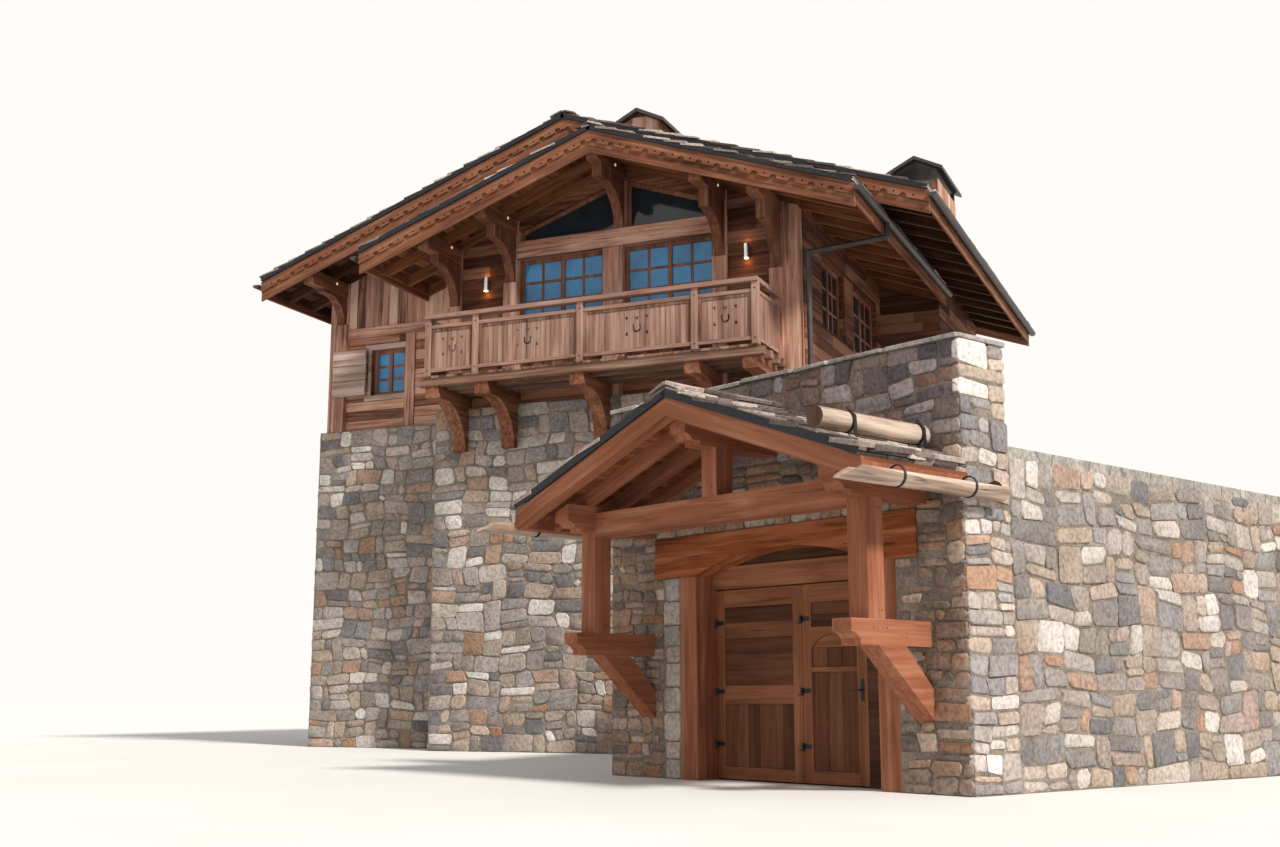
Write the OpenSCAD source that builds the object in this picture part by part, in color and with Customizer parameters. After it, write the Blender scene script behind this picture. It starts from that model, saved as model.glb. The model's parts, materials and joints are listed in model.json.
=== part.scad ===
// Alpine chalet with a stone garage wing and a timber porch, all lengths in millimetres.
// X runs to the right along the balcony front, Y runs back into the slope, Z is up.
// The origin is on the ground below the middle of the balcony front.

/* [House plan] */
// Width of the gabled front bay
bay_w = 6660; // [6400:20:6900]
// How far the front bay stands in front of the left wing
bay_step = 1000; // [800:20:1200]
// Length of the right side of the front bay
bay_right_d = 5300; // [5200:20:6300]
// Distance from the bay's middle to the outer face of the left wall
wing_left = 6550; // [6300:20:7000]
// Distance from the bay's middle to the outer face of the rear right wall
wing_right = 4500; // [4300:20:5000]
// Depth of the house from the balcony front to the back wall
house_d = 8400; // [7600:20:9600]
// Thickness of the timber walls
timber_t = 250; // [220:10:300]
// Thickness of the stone walls
stone_t = 500; // [400:10:600]
// How far the stone walls stand out from the timber walls
stone_out = 100; // [100:10:160]

/* [Levels] */
// Top of the stone walls, where the timber walls start
stone_top = 5930; // [5000:10:6600]
// Height of the upper floor above the stone walls
floor_rise = 370; // [340:10:400]
// Height from the upper floor to the ledge of the inner posts
inner_ledge_h = 1850; // [1700:10:1950]
// Height from the upper floor to the ledge of the outer posts
outer_ledge_h = 1530; // [1400:10:1650]

/* [Roofs] */
// Rise of both roofs of the house for each unit of run
roof_slope = 0.35; // [0.33:0.01:0.37]
// Height of the lower ridge above the stone walls
lower_rise = 4420; // [4350:10:4700]
// Sideways place of the lower ridge
lower_ridge_x = 140; // [100:10:200]
// Distance from the lower ridge to its eaves
lower_half = 4530; // [4300:10:4700]
// How far both roofs reach out in front of their walls
verge_out = 1350; // [1100:10:1500]
// Gap between the lower slabs and the upper rafters where the roofs run side by side
roof_gap = 53.5; // [40:0.5:200]
// Sideways place of the upper ridge
upper_ridge_x = -850; // [-900:10:-800]
// Distance from the upper ridge to its eaves
upper_half = 6450; // [6200:10:6700]
// How far the upper roof reaches out behind the back wall
rear_out = 1000; // [700:10:1200]
// Thickness of the stone slabs, measured upright
slab_t = 130; // [90:5:150]
// Thickness of the roof boards, measured upright
deck_t = 40; // [25:5:50]
// Depth of the rafters, measured upright
rafter_d = 180; // [140:5:200]
// Width of a rafter
rafter_w = 110; // [80:5:140]
// Largest distance between rafters
rafter_gap = 760; // [600:10:900]
// Width of a purlin
purlin_w = 210; // [160:5:220]
// Depth of a purlin at its shallower side
purlin_d = 200; // [160:5:240]

/* [Bargeboards] */
// Thickness of a bargeboard
barge_t = 35; // [25:1:45]
// Depth of the scalloped upper board
barge_upper_d = 190; // [150:5:220]
// Depth of the lower board that shows below the upper one
barge_lower_d = 180; // [140:5:220]
// Distance between two scallops along the slope
scallop_pitch = 330; // [260:5:420]
// Radius of the notch between two scallops
scallop_r = 62; // [40:1:75]
// Radius of the hole drilled in each scallop
drip_hole_r = 17; // [12:1:22]
// Depth of the boards along the eaves
eave_board_d = 260; // [200:10:300]

/* [Front of the upper storey] */
// Width of a front post
post_w = 250; // [220:10:280]
// Distance from the middle to the outer side of the inner posts
inner_post_x = 2110; // [2000:10:2200]
// Distance from the middle to the centre of the left outer post
left_post_x = 3125; // [3080:5:3160]
// Width of the right outer post, which stands beside the corner post
right_post_w = 220; // [200:5:240]
// Width of the middle post
mid_post_w = 370; // [320:10:420]
// How far the corner posts stand proud of the planks
post_proud = 40; // [20:5:60]
// How far the posts stand proud below the ledge that carries a brace
ledge_proud = 100; // [80:5:100]
// Width of the post at the left corner of the wing
wing_post_w = 410; // [380:10:440]
// Height of the glazed doors to the balcony
glazed_door_h = 2280; // [2100:10:2320]
// Depth of the lintel beams
lintel_d = 300; // [240:10:340]
// How far the lintel beams stand proud of the planks
lintel_proud = 90; // [60:5:100]
// Width of the post that carries the ridge
ridge_post_w = 170; // [140:10:200]
// Depth of the sloping beams over the gable glazing
gable_beam_d = 190; // [150:5:200]

/* [Braces under the roof] */
// Width of a brace
brace_w = 170; // [140:5:200]
// Radius of the hollow front of a brace
brace_r = 650; // [500:10:700]
// How far a brace reaches out from the planks
brace_out = 800; // [760:10:900]
// How far the brace of the ridge reaches out
ridge_brace_out = 1000; // [900:10:1100]

/* [Windows] */
// Thickness of the window frames
frame_t = 70; // [50:5:90]
// Width of the frame members
frame_w = 75; // [55:5:95]
// Thickness of the panes
glass_t = 20; // [12:1:28]
// Width of the window in the left wing
wing_win_w = 750; // [650:10:800]
// Height of the window in the left wing
wing_win_h = 900; // [750:10:950]
// Width of the first window in the right side
side_win_a = 1400; // [1200:10:1500]
// Width of the second window in the right side
side_win_b = 1700; // [1400:10:1800]
// Width of a plain window at the left and at the back
plain_win_w = 900; // [700:10:1000]
// Height of the side and plain windows
side_win_h = 1250; // [1000:10:1350]
// Distance from the top of the left wall down to their heads
side_head = 355; // [250:5:450]

/* [Balcony] */
// Depth of the balcony
balcony_d = 1200; // [1000:10:1300]
// Width of the balcony
balcony_w = 6060; // [5900:10:6200]
// Thickness of the balcony's floor boards
board_t = 40; // [30:5:50]
// Depth of the joists that lie along the balcony
joist_d = 130; // [100:5:150]
// How far the joists reach out beyond the boards
joist_out = 90; // [50:5:140]
// Height of the handrail above the balcony floor
rail_h = 1085; // [1000:5:1150]
// Width of a railing post
rail_post_w = 110; // [90:5:130]
// Thickness of a railing panel
panel_t = 30; // [22:1:40]
// Width of a bracket beam under the balcony
bracket_w = 250; // [200:10:280]
// Height of the hollow struts under the bracket beams
strut_h = 780; // [600:10:900]

/* [Garage wing] */
// Turn of the garage wing to the house, seen from above
garage_turn = -25.6; // [-27:0.1:-24]
// Sideways place of the garage's own zero point
garage_x = 3510; // [3460:10:3560]
// Place of the garage's front, in front of the house
garage_y = -6520; // [-7000:10:-6200]
// Distance from the garage's zero point to the left end of its front wall
garage_left = 700; // [650:10:800]
// Distance from the garage's zero point to the right end of its front wall
garage_right = 4450; // [4350:10:4700]
// Thickness of the garage front wall
garage_wall_t = 700; // [600:10:800]
// Depth of the garage wing
garage_d = 7400; // [7000:20:7800]
// Height of the terrace over the garage
terrace_top = 3300; // [3100:10:3500]
// Thickness of the terrace slab
terrace_t = 250; // [200:10:300]
// Height of the parapet without its coping
parapet_top = 4260; // [4200:10:4600]
// Thickness of the coping stones
coping_t = 80; // [60:5:100]
// How far the coping stands out
coping_out = 40; // [20:5:60]
// Thickness of the garage floor
garage_floor_t = 60; // [40:5:100]

/* [Garage door] */
// Left edge of the opening in the stone wall
door_x = 500; // [470:10:530]
// Width of the opening in the stone wall
door_w = 3110; // [3050:10:3200]
// Width of the wooden jambs
jamb_w = 260; // [200:10:280]
// Depth of the opening in front of the leaves
reveal = 300; // [260:10:340]
// Height of the springing of the arched beam
arch_z = 2220; // [2180:10:2240]
// Rise of the arched beam
arch_rise = 240; // [180:10:260]
// Depth of the arched beam at its ends
arch_d = 460; // [400:10:465]
// How far the arched beam reaches into the left pier
arch_seat_left = 400; // [300:10:420]
// How far the arched beam reaches into the right pier
arch_seat_right = 280; // [240:10:360]
// How far the arched beam stands proud of the stone
arch_proud = 30; // [10:5:50]
// Height of the door leaves
leaf_h = 2050; // [1980:10:2100]
// Thickness of the door leaves
leaf_t = 60; // [50:5:70]
// Width of the wide leaf
wide_leaf_w = 1300; // [1200:10:1350]
// Width of the fixed board beside the narrow leaf
side_board_w = 386; // [300:1:460]
// Gap around each leaf
leaf_gap = 8; // [6:1:12]
// Gap below the leaves
foot_gap = 15; // [10:1:25]
// Width of the stiles and rails of the leaves
stile_w = 130; // [90:5:140]
// Radius of the hinge pins
pin_r = 8; // [6:1:9]
// Running clearance of the hinges
hinge_gap = 0.3; // [0.2:0.1:0.6]

/* [Porch] */
// Side of the square porch posts
porch_post = 230; // [200:5:250]
// Left side of the left porch post
porch_left = -150; // [-200:10:-100]
// Left side of the right porch post
porch_right = 3800; // [3750:10:3900]
// Distance from the wall to the front of the porch posts
porch_reach = 910; // [850:10:1000]
// Height of the bracket beams that carry the porch posts
bracket_top = 1590; // [1500:10:1700]
// Depth of those bracket beams
porch_bracket_d = 240; // [200:10:260]
// How far their noses reach in front of the posts
nose_out = 240; // [180:10:260]
// Height of the underside of the tie beam
tie_z = 2650; // [2620:10:2680]
// Depth of the tie beam
tie_d = 270; // [240:10:280]
// Width of the short post that carries the porch ridge
king_w = 220; // [180:10:230]
// Sideways place of the porch ridge
porch_ridge_x = 1945; // [1920:5:1970]
// Height of the porch ridge
porch_ridge_z = 4010; // [3990:10:4060]
// Rise of the porch roof for each unit of run
porch_slope = 0.36; // [0.34:0.01:0.37]
// Distance from the porch ridge to its eaves
porch_half = 2580; // [2540:10:2620]
// How far the porch roof reaches out in front of the wall
porch_verge = 1540; // [1450:10:1650]
// Thickness of the porch slabs, measured upright
porch_slab_t = 130; // [90:5:140]
// Thickness of the porch roof boards, measured upright
porch_deck_t = 35; // [25:5:40]
// Depth of the porch rafters, measured upright
porch_rafter_d = 175; // [150:5:180]
// Depth of the beams that carry the porch rafters
porch_beam_d = 210; // [180:5:220]
// Depth of the porch bargeboards
porch_barge_d = 190; // [160:5:220]
// Radius of a hollowed gutter log
gutter_log_r = 95; // [80:1:110]
// Radius of the snow log on the porch roof
snow_log_r = 100; // [80:1:120]

/* [Chimneys] */
// Sideways place of the small vent housing
vent_x = -400; // [-500:10:-300]
// Width of the small vent housing
vent_w = 860; // [700:10:1000]
// Height of its ridge above the upper ridge
vent_h = 780; // [600:10:900]
// Width of the tall stack
stack_w = 900; // [700:10:1000]
// Length of the tall stack
stack_d = 1700; // [1400:10:2000]
// Height of the tall stack above the upper ridge
stack_h = 250; // [100:10:400]

/* [Hidden] */
$fn = 32;
eps = 1;
// Gap left between slanting or turned faces that rest on each other
seam = 0.3;

bay_half = bay_w / 2;
floor_top = stone_top + floor_rise;
lower_ridge_z = stone_top + lower_rise;
under = slab_t + deck_t + rafter_d;
upper_ridge_z = lower_ridge_z + roof_slope * (lower_ridge_x - upper_ridge_x) + under + roof_gap;
glazed_top = floor_top + glazed_door_h;
lintel_top = glazed_top + lintel_d;
inner_in = inner_post_x - post_w;
lower_x0 = lower_ridge_x - lower_half;
lower_x1 = lower_ridge_x + lower_half;
upper_x0 = upper_ridge_x - upper_half;
upper_x1 = upper_ridge_x + upper_half;
lower_verge = -verge_out;
upper_verge = bay_step - verge_out;
rear_verge = house_d + rear_out;
edge_in = 20;
barge_back = 30;
frame_back = barge_back + 2 * barge_t;
wing_y = bay_step;

// Height of the top of each roof at a sideways place
function lower_z(x) = lower_ridge_z - roof_slope * abs(x - lower_ridge_x);
function upper_z(x) = upper_ridge_z - roof_slope * abs(x - upper_ridge_x);
function porch_z(x) = porch_ridge_z - porch_slope * abs(x - porch_ridge_x);

// A point of the garage plan as a point of the house plan
function garage_pt(x, y) = [
    garage_x + x * cos(garage_turn) - y * sin(garage_turn),
    garage_y + x * sin(garage_turn) + y * cos(garage_turn)];
// Where a line of equal garage depth crosses a line of equal house X
function garage_cross(y, house_x) =
    let (x = (house_x - garage_x + y * sin(garage_turn)) / cos(garage_turn)) garage_pt(x, y);

// Extrudes an outline drawn in X and Z from one Y to another
module along_y(y0, y1) {
    translate([0, y1, 0]) rotate([90, 0, 0]) linear_extrude(y1 - y0) children();
}
// Extrudes an outline drawn in Y and Z from one X to another
module along_x(x0, x1) {
    translate([x0, 0, 0]) rotate([90, 0, 90]) linear_extrude(x1 - x0) children();
}
// Extrudes an outline drawn in X and Y from one height to another
module upright(z0, z1) {
    translate([0, 0, z0]) linear_extrude(z1 - z0) children();
}
// A box between its lowest and its highest corner
module block(a, b) {
    translate(a) cube(b - a);
}
// Puts a piece drawn in the garage's own plan in its place
module in_garage() {
    translate([garage_x, garage_y, 0]) rotate([0, 0, garage_turn]) children();
}
// A band that follows a gable, between two depths below its top
module gable_band(ridge_x, ridge_z, slope, x0, x1, a, b) {
    peak = x0 < ridge_x && x1 > ridge_x;
    polygon(concat(
        [[x0, ridge_z - slope * abs(x0 - ridge_x) - a]],
        peak ? [[ridge_x, ridge_z - a]] : [],
        [[x1, ridge_z - slope * abs(x1 - ridge_x) - a], [x1, ridge_z - slope * abs(x1 - ridge_x) - b]],
        peak ? [[ridge_x, ridge_z - b]] : [],
        [[x0, ridge_z - slope * abs(x0 - ridge_x) - b]]));
}
module lower_layer(x0, x1, a, b) gable_band(lower_ridge_x, lower_ridge_z, roof_slope, x0, x1, a, b);
module upper_layer(x0, x1, a, b) gable_band(upper_ridge_x, upper_ridge_z, roof_slope, x0, x1, a, b);
module porch_layer(x0, x1, a, b) gable_band(porch_ridge_x, porch_ridge_z, porch_slope, x0, x1, a, b);
// A wall's outline from a level foot up to the underside of the rafters
module gable_wall(ridge_x, ridge_z, x0, x1) {
    polygon(concat(
        [[x0, stone_top], [x1, stone_top], [x1, ridge_z - roof_slope * abs(x1 - ridge_x) - under]],
        x0 < ridge_x && x1 > ridge_x ? [[ridge_x, ridge_z - under]] : [],
        [[x0, ridge_z - roof_slope * abs(x0 - ridge_x) - under]]));
}
module below_lower(x0, x1) gable_wall(lower_ridge_x, lower_ridge_z, x0, x1);
module below_upper(x0, x1) gable_wall(upper_ridge_x, upper_ridge_z, x0, x1);

// Beam under a roof: a level underside and a bevelled top
module beam_outline(ridge_x, ridge_z, slope, x, w, below, d) {
    left_z = ridge_z - slope * abs(x - w / 2 - ridge_x) - below;
    right_z = ridge_z - slope * abs(x + w / 2 - ridge_x) - below;
    foot = min(left_z, right_z) - d;
    polygon(concat(
        [[x - w / 2, foot], [x + w / 2, foot], [x + w / 2, right_z]],
        x == ridge_x ? [[x, ridge_z - below]] : [],
        [[x - w / 2, left_z]]));
}
function beam_foot(z_at_x, slope, w, below, d) = z_at_x - slope * w / 2 - below - d;

// Garage wing
door_x1 = door_x + door_w;
clear_x0 = door_x + jamb_w;
clear_x1 = door_x1 - jamb_w;
arch_x0 = door_x - arch_seat_left;
arch_x1 = door_x1 + arch_seat_right;
arch_top = arch_z + arch_d;
terrace_x = garage_pt(-garage_left, 0)[0];
stone_half = bay_half + stone_out;
wall_top = terrace_top - terrace_t;
pier_back = garage_wall_t + seam;
beam_seat = 100;
porch_under = porch_slab_t + porch_deck_t + porch_rafter_d;
porch_beam_x = [porch_left + porch_post / 2, porch_ridge_x, porch_right + porch_post / 2];
porch_x0 = porch_ridge_x - porch_half;
porch_x1 = porch_ridge_x + porch_half;
function porch_beam_foot(x) =
    beam_foot(porch_z(x), porch_slope, porch_post, porch_under, porch_beam_d);
module porch_beam_outline(x)
    beam_outline(porch_ridge_x, porch_ridge_z, porch_slope, x, porch_post, porch_under, porch_beam_d);

// Pockets in the stone for the arched beam and for the ends of the porch beams
module wall_pockets() {
    block([arch_x0, -eps, arch_z], [arch_x1, reveal, arch_top]);
    for (x = porch_beam_x) along_y(-eps, beam_seat) porch_beam_outline(x);
}
module garage_piers() color("gray") in_garage() difference() {
    union() {
        block([-garage_left, 0, 0], [door_x, garage_wall_t, parapet_top]);
        block([door_x1, 0, 0], [garage_right, garage_wall_t, parapet_top]);
    }
    wall_pockets();
}
module garage_wall_over_door() color("dimgray") in_garage() difference() {
    block([door_x, 0, arch_top], [door_x1, garage_wall_t, parapet_top]);
    wall_pockets();
}
// Walls that run back from the garage front to the house
module terrace_walls() color("gray") {
    upright(0, wall_top - seam) polygon([
        garage_pt(-garage_left - seam, 0), garage_pt(-garage_left - seam, pier_back),
        garage_cross(pier_back, terrace_x + stone_t), [terrace_x + stone_t, -stone_out],
        [terrace_x, -stone_out]]);
    in_garage() block([garage_right - stone_t, pier_back, 0],
        [garage_right, garage_d - stone_t + eps, wall_top - seam]);
    upright(0, wall_top - seam) polygon([
        garage_cross(garage_d - stone_t, stone_half), garage_pt(garage_right, garage_d - stone_t),
        garage_pt(garage_right, garage_d), garage_cross(garage_d, stone_half)]);
}
module terrace_slab() color("lightgray") upright(wall_top, terrace_top) polygon([
    garage_pt(-garage_left - seam, 0), garage_pt(-garage_left - seam, pier_back),
    garage_pt(garage_right, pier_back), garage_pt(garage_right, garage_d),
    garage_cross(garage_d, stone_half), [stone_half, -stone_out], [terrace_x, -stone_out]]);
module parapet_coping() color("silver") in_garage() block(
    [-garage_left - coping_out, -coping_out, parapet_top],
    [garage_right + coping_out, garage_wall_t + coping_out, parapet_top + coping_t]);

// Arched beam over the garage door, cut from one timber and let into both piers
module arch_beam() color("sienna") in_garage() difference() {
    half = (clear_x1 - clear_x0) / 2;
    r = (half * half + arch_rise * arch_rise) / (2 * arch_rise);
    block([arch_x0, -arch_proud, arch_z], [arch_x1, reveal, arch_top]);
    intersection() {
        translate([(clear_x0 + clear_x1) / 2, reveal + eps, arch_z + arch_rise - r]) rotate([90, 0, 0])
            cylinder(r = r, h = reveal + arch_proud + 2 * eps, $fn = 96);
        block([clear_x0, -arch_proud - eps, arch_z - eps], [clear_x1, reveal + eps, arch_top]);
    }
}
module door_jambs() color("saddlebrown") in_garage() {
    block([door_x, 0, 0], [clear_x0, reveal + leaf_t, arch_z]);
    block([clear_x1, 0, 0], [door_x1, reveal + leaf_t, arch_z]);
}
wide_x0 = clear_x0 + leaf_gap;
wide_x1 = wide_x0 + wide_leaf_w;
narrow_x0 = wide_x1 + leaf_gap;
narrow_x1 = clear_x1 - side_board_w - leaf_gap;
leaf_top = foot_gap + leaf_h;
transom_z = leaf_top + leaf_gap;
// Boards over the leaves and behind the arched beam, with the fixed board beside the leaves
module door_transom() color("peru") in_garage() {
    block([clear_x0, reveal, transom_z], [clear_x1, reveal + leaf_t, arch_z + eps]);
    block([clear_x1 - side_board_w, reveal, 0], [clear_x1, reveal + leaf_t, transom_z + eps]);
    block([door_x, reveal, arch_z], [door_x1, reveal + leaf_t, arch_top]);
}

// A framed leaf: the fields between stiles and rails are sunk from the outside
panel_in = 20;
module sunk_field(x0, x1, z0, z1) block([x0, reveal - eps, z0], [x1, reveal + panel_in, z1]);
wide_rail_z0 = 820;
wide_rail_z1 = 1020;
field_top = leaf_top - 190;
module wide_leaf() color("saddlebrown") in_garage() difference() {
    block([wide_x0, reveal, foot_gap], [wide_x1, reveal + leaf_t, leaf_top]);
    sunk_field(wide_x0 + stile_w, wide_x1 - stile_w, foot_gap + stile_w, wide_rail_z0);
    sunk_field(wide_x0 + stile_w, wide_x1 - stile_w, wide_rail_z1, field_top);
}
thin_rail_z0 = 1147;
thin_rail_z1 = 1197;
arch_field_z = 1400;
small_field_z = 1615;
module narrow_leaf() color("saddlebrown") in_garage() difference() {
    x0 = narrow_x0 + stile_w;
    x1 = narrow_x1 - stile_w;
    block([narrow_x0, reveal, foot_gap], [narrow_x1, reveal + leaf_t, leaf_top]);
    sunk_field(x0, x1, foot_gap + stile_w, thin_rail_z0);
    sunk_field(x0, x1, thin_rail_z1, arch_field_z);
    sunk_field(x0, x1, small_field_z, field_top);
    intersection() {
        r = (x1 - x0) / 2 / sin(50);
        translate([(x0 + x1) / 2, reveal + panel_in, arch_field_z - r * cos(50)]) rotate([90, 0, 0])
            cylinder(r = r, h = panel_in + eps, $fn = 64);
        sunk_field(x0, x1, arch_field_z - eps, small_field_z);
    }
}

// Hinges: a pin on a plate carries a knuckle just in front of the leaf
knuckle_r = pin_r + 7;
knuckle_h = 70;
knuckle_clear = 5;
hinge_y = reveal - knuckle_r - knuckle_clear;
hinge_z = [350, 920, 1670];
wide_hinge_x = clear_x0 + knuckle_r + knuckle_clear;
narrow_hinge_x = (wide_x1 + narrow_x0) / 2;
pin_plate_t = 10;
pin_l = knuckle_h - 6;
arm_half = 9;
arm_l = 50;
strap_z = 12;
strap_h = 46;
strap_t = 5;
strap_l = 110;
module pintles(x, arm_x) for (z = hinge_z) {
    translate([x, hinge_y, z - pin_plate_t]) cylinder(r = knuckle_r, h = pin_plate_t);
    translate([x, hinge_y, z - eps]) cylinder(r = pin_r, h = pin_l);
    block([arm_x, hinge_y - arm_half, z - pin_plate_t], [x, hinge_y + arm_half, z]);
}
module knuckles(x) for (z = hinge_z) difference() {
    union() {
        translate([x, hinge_y, z + hinge_gap]) cylinder(r = knuckle_r, h = knuckle_h);
        block([x, hinge_y, z + strap_z], [x + knuckle_r, reveal, z + strap_z + strap_h]);
        block([x, reveal - strap_t, z + strap_z], [x + strap_l, reveal, z + strap_z + strap_h]);
    }
    translate([x, hinge_y, z - eps]) cylinder(r = pin_r + hinge_gap, h = pin_l + 4);
}
module jamb_pintles() color("dimgray") in_garage() pintles(wide_hinge_x, clear_x0);
module wide_leaf_irons() color("dimgray") in_garage() {
    knuckles(wide_hinge_x);
    pintles(narrow_hinge_x, narrow_hinge_x - arm_l);
    for (z = hinge_z) block([narrow_hinge_x - arm_l, hinge_y - arm_half, z - pin_plate_t],
        [narrow_hinge_x - arm_l + 30, reveal, z]);
}
handle_z = 960;
handle_out = 60;
handle_r = 9;
module narrow_leaf_irons() color("dimgray") in_garage() {
    knuckles(narrow_hinge_x);
    translate([narrow_x1 - stile_w / 2, reveal, handle_z]) {
        block([-20, -6, -110], [20, 0, 110]);
        rotate([90, 0, 0]) cylinder(r = handle_r, h = handle_out);
        block([-115, -handle_out - 8, -handle_r], [handle_r, -handle_out + 8, handle_r]);
    }
}

// Porch: posts on bracket beams with slanting struts
post_y0 = -porch_reach;
post_y1 = porch_post - porch_reach;
module porch_posts() color("sienna") in_garage() for (x = [porch_left, porch_right])
    block([x, post_y0, bracket_top], [x + porch_post, post_y1, porch_beam_foot(x + porch_post / 2)]);
strut_foot = 660;
strut_foot_w = 290;
strut_out = 390;
module porch_brackets() color("sienna") in_garage() for (x = [porch_left, porch_right])
    along_x(x, x + porch_post) {
        nose = post_y0 - nose_out;
        low = bracket_top - porch_bracket_d;
        difference() {
            polygon([[0, low], [0, bracket_top], [nose, bracket_top], [nose, low]]);
            translate([nose, low]) circle(porch_bracket_d / 2);
            translate([nose - eps, low - eps]) square([nose_out / 2, porch_bracket_d / 4]);
        }
        polygon([
            [0, strut_foot], [0, strut_foot + strut_foot_w], [-strut_out, low + eps],
            [-2 * strut_out, low + eps]]);
    }
module porch_truss() color("sienna") in_garage() {
    block([porch_left + porch_post, post_y0, tie_z], [porch_right, post_y1, tie_z + tie_d]);
    block([porch_ridge_x - king_w / 2, post_y0, tie_z + tie_d - eps],
        [porch_ridge_x + king_w / 2, post_y1, porch_beam_foot(porch_ridge_x)]);
}
// The three beams of the porch end in stepped noses in front of the posts
porch_nose = -1290;
ridge_nose = -1350;
module porch_beams() color("sienna") in_garage() for (x = porch_beam_x) {
    nose = x == porch_ridge_x ? ridge_nose : porch_nose;
    foot = porch_beam_foot(x);
    difference() {
        along_y(nose, beam_seat) porch_beam_outline(x);
        along_x(x - porch_post, x + porch_post) {
            translate([nose, foot]) circle(porch_beam_d / 2);
            translate([nose - eps, foot - eps]) square([porch_beam_d, porch_beam_d / 5]);
        }
    }
}
porch_barge_t = 40;
porch_front = barge_back + porch_barge_t - porch_verge;
porch_eave_t = 20;
porch_rafter_w = 90;
porch_rafters_n = 4;
porch_raft_x0 = porch_x0 + edge_in + porch_eave_t;
porch_raft_x1 = porch_x1 - edge_in - porch_eave_t;
porch_frame_top = porch_slab_t + porch_deck_t;
// Rafters of one slope are joined by the blocking along the eave
module porch_slope_frame(x0, x1, block_x) {
    step = (-porch_front - porch_rafter_w) / (porch_rafters_n - 1);
    for (i = [0:porch_rafters_n - 1])
        along_y(porch_front + i * step, porch_front + i * step + porch_rafter_w)
            porch_layer(x0, x1, porch_frame_top, porch_under);
    along_y(porch_front, 0) porch_layer(block_x, block_x + eave_t, porch_frame_top, porch_under);
}
module porch_rafters() color("sienna") in_garage() {
    porch_slope_frame(porch_raft_x0, porch_ridge_x - eps, porch_raft_x0);
    porch_slope_frame(porch_ridge_x + eps, porch_raft_x1, porch_raft_x1 - eave_t);
}
module porch_deck() color("peru") in_garage() along_y(porch_front, 0)
    porch_layer(porch_x0 + edge_in, porch_x1 - edge_in, porch_slab_t, porch_frame_top);
module porch_slabs() color("gray") in_garage() along_y(-porch_verge, 0)
    porch_layer(porch_x0, porch_x1, 0, porch_slab_t);
module porch_edge_boards() color("saddlebrown") in_garage() {
    along_y(barge_back - porch_verge, porch_front)
        porch_layer(porch_x0 + edge_in, porch_x1 - edge_in, porch_slab_t, porch_slab_t + porch_barge_d);
    for (x = [porch_x0 + edge_in, porch_raft_x1])
        along_y(porch_front - eps, 0) porch_layer(x, x + porch_eave_t, porch_frame_top, porch_under);
}
// Hollowed logs as gutters along both eaves, and a log that holds the snow
gutter_log_z = porch_z(porch_x1) - porch_under + 60;
gutter_front = -porch_verge - 420;
gutter_rear = 400;
gutter_sink = 35;
gutter_plug = 120;
snow_x = 4000;
module gutter_log(x, rear) difference() {
    translate([x, rear, gutter_log_z]) rotate([90, 0, 0]) cylinder(r = gutter_log_r, h = rear - gutter_front);
    translate([x, rear - gutter_plug, gutter_log_z + gutter_sink]) rotate([90, 0, 0])
        cylinder(r = gutter_log_r - 25, h = rear - gutter_front);
    along_x(x - gutter_log_r - eps, x + gutter_log_r + eps) polygon([
        [gutter_front - eps, gutter_log_z - gutter_log_r], [gutter_front + 260, gutter_log_z + gutter_sink],
        [rear - gutter_plug, gutter_log_z + gutter_sink], [rear - gutter_plug, gutter_log_z + 2 * gutter_log_r],
        [gutter_front - eps, gutter_log_z + 2 * gutter_log_r]]);
}
module porch_logs() color("burlywood") in_garage() {
    gutter_log(porch_x1 - edge_in + gutter_log_r, gutter_rear);
    gutter_log(porch_x0 + edge_in - gutter_log_r, 0);
    translate([snow_x, 0, porch_z(snow_x) + snow_log_r * sqrt(1 + porch_slope * porch_slope)])
        rotate([90, 0, 0]) cylinder(r = snow_log_r, h = porch_verge);
}

// Stone storey of the house, split where its walls meet
stone_left = wing_left + stone_out;
stone_right = wing_right + stone_out;
stone_y1 = house_d + stone_out;
module stone_cross_walls() color("gray") {
    block([-stone_half, -stone_out, 0], [stone_half, stone_t - stone_out, stone_top]);
    block([-stone_left, wing_y - stone_out, 0], [stone_t - stone_half, wing_y - stone_out + stone_t, stone_top]);
    block([stone_half - stone_t, bay_right_d - stone_out, 0],
        [stone_right, bay_right_d - stone_out + stone_t, stone_top]);
    block([-stone_left, stone_y1 - stone_t, 0], [stone_right, stone_y1, stone_top]);
}
module stone_side_walls() color("gray") {
    front = stone_t - stone_out;
    block([-stone_half, front, 0], [stone_t - stone_half, wing_y - stone_out, stone_top]);
    block([stone_half - stone_t, front, 0], [stone_half, bay_right_d - stone_out, stone_top]);
    block([-stone_left, wing_y + front, 0], [stone_t - stone_left, stone_y1 - stone_t, stone_top]);
    block([stone_right - stone_t, bay_right_d + front, 0], [stone_right, stone_y1 - stone_t, stone_top]);
}
module floors() {
    color("burlywood") upright(stone_top, floor_top) polygon([
        [timber_t - bay_half, timber_t], [bay_half - timber_t, timber_t],
        [bay_half - timber_t, bay_right_d + timber_t], [wing_right - timber_t, bay_right_d + timber_t],
        [wing_right - timber_t, house_d - timber_t], [timber_t - wing_left, house_d - timber_t],
        [timber_t - wing_left, wing_y + timber_t], [timber_t - bay_half, wing_y + timber_t]]);
    left = terrace_x + stone_t + seam;
    right = garage_right - stone_t - seam;
    back = garage_d - stone_t - seam;
    color("silver") upright(0, garage_floor_t) polygon([
        garage_cross(pier_back, left), garage_pt(right, pier_back), garage_pt(right, back),
        garage_cross(back, stone_half), [stone_half, -stone_out], [left, -stone_out]]);
}

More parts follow.
